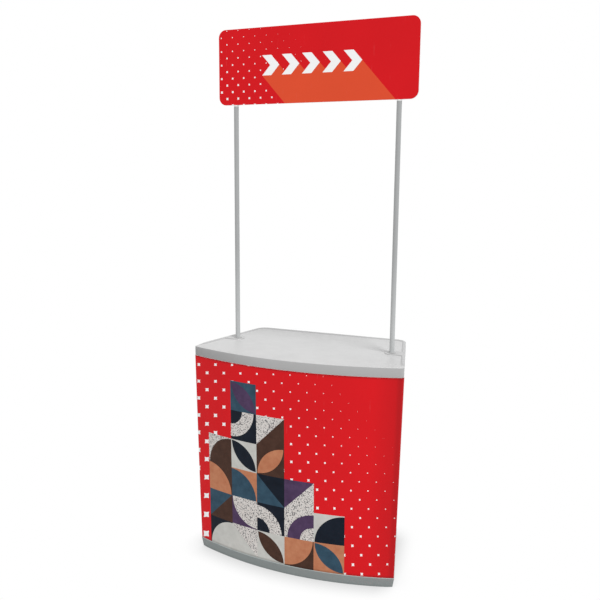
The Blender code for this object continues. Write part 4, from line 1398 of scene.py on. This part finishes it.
class COUNTER_OT_stage(Operator):
    """White studio: floor, even sky, a sun lamp and the camera"""

    bl_idname = "counter.stage"
    bl_label = "Studio"

    def execute(self, context):
        studio = context.scene.counter_studio
        ground = Finish("studio_floor", 0.9)
        seen = ground.add("ShaderNodeLightPath").outputs["Is Camera Ray"]
        white = rgba(WHITE[:3], studio.floor_white)
        plain = ground.add("ShaderNodeBsdfDiffuse", [("Color", white)]).outputs[0]
        # Painted shadow: ambient occlusion darkens the floor's emission near the counter, and a painted wash
        # lightens it towards the right
        clear = ground.value(
            "AO", "ShaderNodeAmbientOcclusion", [("Distance", studio.shadow_reach)], samples=FLOOR_SAMPLES)
        painted_wash = ground.parts(ground.place)[0].spread(*FLOOR_PAINTED_WASH_X, 0, FLOOR_PAINTED_WASH)
        shade = (clear + painted_wash * (1 - clear)).spread(0, FLOOR_CLEAR, 1 - studio.shadow_depth, 1)
        shown = ground.add("ShaderNodeEmission", [("Strength", shade)]).outputs[0]
        both = ground.add("ShaderNodeMixShader", enumerate((seen, plain, shown))).outputs[0]
        ground.feed(ground.nodes["Material Output"].inputs["Surface"], both)
        shape = bmesh.new()
        bmesh.ops.create_grid(shape, x_segments=1, y_segments=1, size=studio.floor_size / 2)
        data = as_mesh("studio_floor", shape)
        data.materials.append(ground.material)
        floor = new_object("studio_floor", data)

        world = bpy.data.worlds.new("studio_sky")
        context.scene.world = world
        world.use_nodes = True
        nodes, links = world.node_tree.nodes, world.node_tree.links
        rays = nodes.new("ShaderNodeLightPath").outputs
        direct = rays["Is Camera Ray"]
        for kind in ("Is Glossy Ray", "Is Transmission Ray"):
            either = nodes.new("ShaderNodeMath")
            either.operation = "MAXIMUM"
            links.new(direct, either.inputs[0])
            links.new(rays[kind], either.inputs[1])
            direct = either.outputs[0]
        level = nodes.new("ShaderNodeMapRange")
        level.inputs["To Min"].default_value = studio.sky
        level.inputs["To Max"].default_value = 1
        links.new(direct, level.inputs["Value"])
        sky = nodes["Background"]
        sky.inputs["Color"].default_value = WHITE
        links.new(level.outputs["Result"], sky.inputs["Strength"])

        lamp = bpy.data.lights.new("studio_key", "SUN")
        lamp.energy = studio.key_strength
        lamp.angle = studio.key_spread
        key = new_object("studio_key", lamp)
        level_way = Vector(studio.key_way).normalized() * math.cos(studio.key_rise)
        way = Vector((level_way.x, level_way.y, math.sin(studio.key_rise)))
        key.location = way * HEADER_BOX[1].z * 2
        key.rotation_euler = way.to_track_quat("Z", "Y").to_euler()

        optics = bpy.data.cameras.new("studio_camera")
        optics.lens = studio.lens
        camera = new_object("studio_camera", optics)
        turn, tilt, roll = studio.camera_turn
        ahead = Vector((math.sin(turn) * math.cos(tilt), math.cos(turn) * math.cos(tilt), -math.sin(tilt)))
        right = Vector((math.cos(turn), -math.sin(turn), 0))
        up = right.cross(ahead)
        across = right * math.cos(roll) + up * math.sin(roll)
        upward = up * math.cos(roll) - right * math.sin(roll)
        axes = Matrix((across, upward, -ahead)).transposed().to_4x4()
        camera.matrix_world = Matrix.Translation(studio.camera_place) @ axes
        context.scene.camera = camera
        context.scene.view_settings.view_transform = "Standard"
        return {"FINISHED"}


OPERATORS = (
    COUNTER_OT_worktop, COUNTER_OT_base, COUNTER_OT_panel, COUNTER_OT_strips, COUNTER_OT_bands,
    COUNTER_OT_posts, COUNTER_OT_shelf, COUNTER_OT_poles, COUNTER_OT_header, COUNTER_OT_stage)


class COUNTER_PT_pieces(Panel):
    """Sizes, colours and studio of the counter, and a button for each group of pieces"""

    bl_idname = "COUNTER_PT_pieces"
    bl_label = "Exhibition counter"
    bl_space_type = "VIEW_3D"
    bl_region_type = "UI"
    bl_category = "Counter"

    def draw(self, context):
        scene = context.scene
        for group in (scene.counter_sizes, scene.counter_colours, scene.counter_studio):
            area = self.layout.box()
            for name in group.__annotations__:
                area.prop(group, name)
        for operator in OPERATORS:
            self.layout.operator(operator.bl_idname)


GROUPS = {"counter_sizes": CounterSizes, "counter_colours": CounterColours, "counter_studio": CounterStudio}


def register():
    for made in (*GROUPS.values(), *OPERATORS, COUNTER_PT_pieces):
        bpy.utils.register_class(made)
    for name, group in GROUPS.items():
        setattr(bpy.types.Scene, name, PointerProperty(type=group))


def unregister():
    for name in GROUPS:
        delattr(bpy.types.Scene, name)
    for made in (COUNTER_PT_pieces, *reversed(OPERATORS), *reversed(list(GROUPS.values()))):
        bpy.utils.unregister_class(made)


def main():
    register()
    for operator in OPERATORS:
        getattr(bpy.ops.counter, operator.bl_idname.split(".")[1])()


if __name__ == "__main__":
    main()
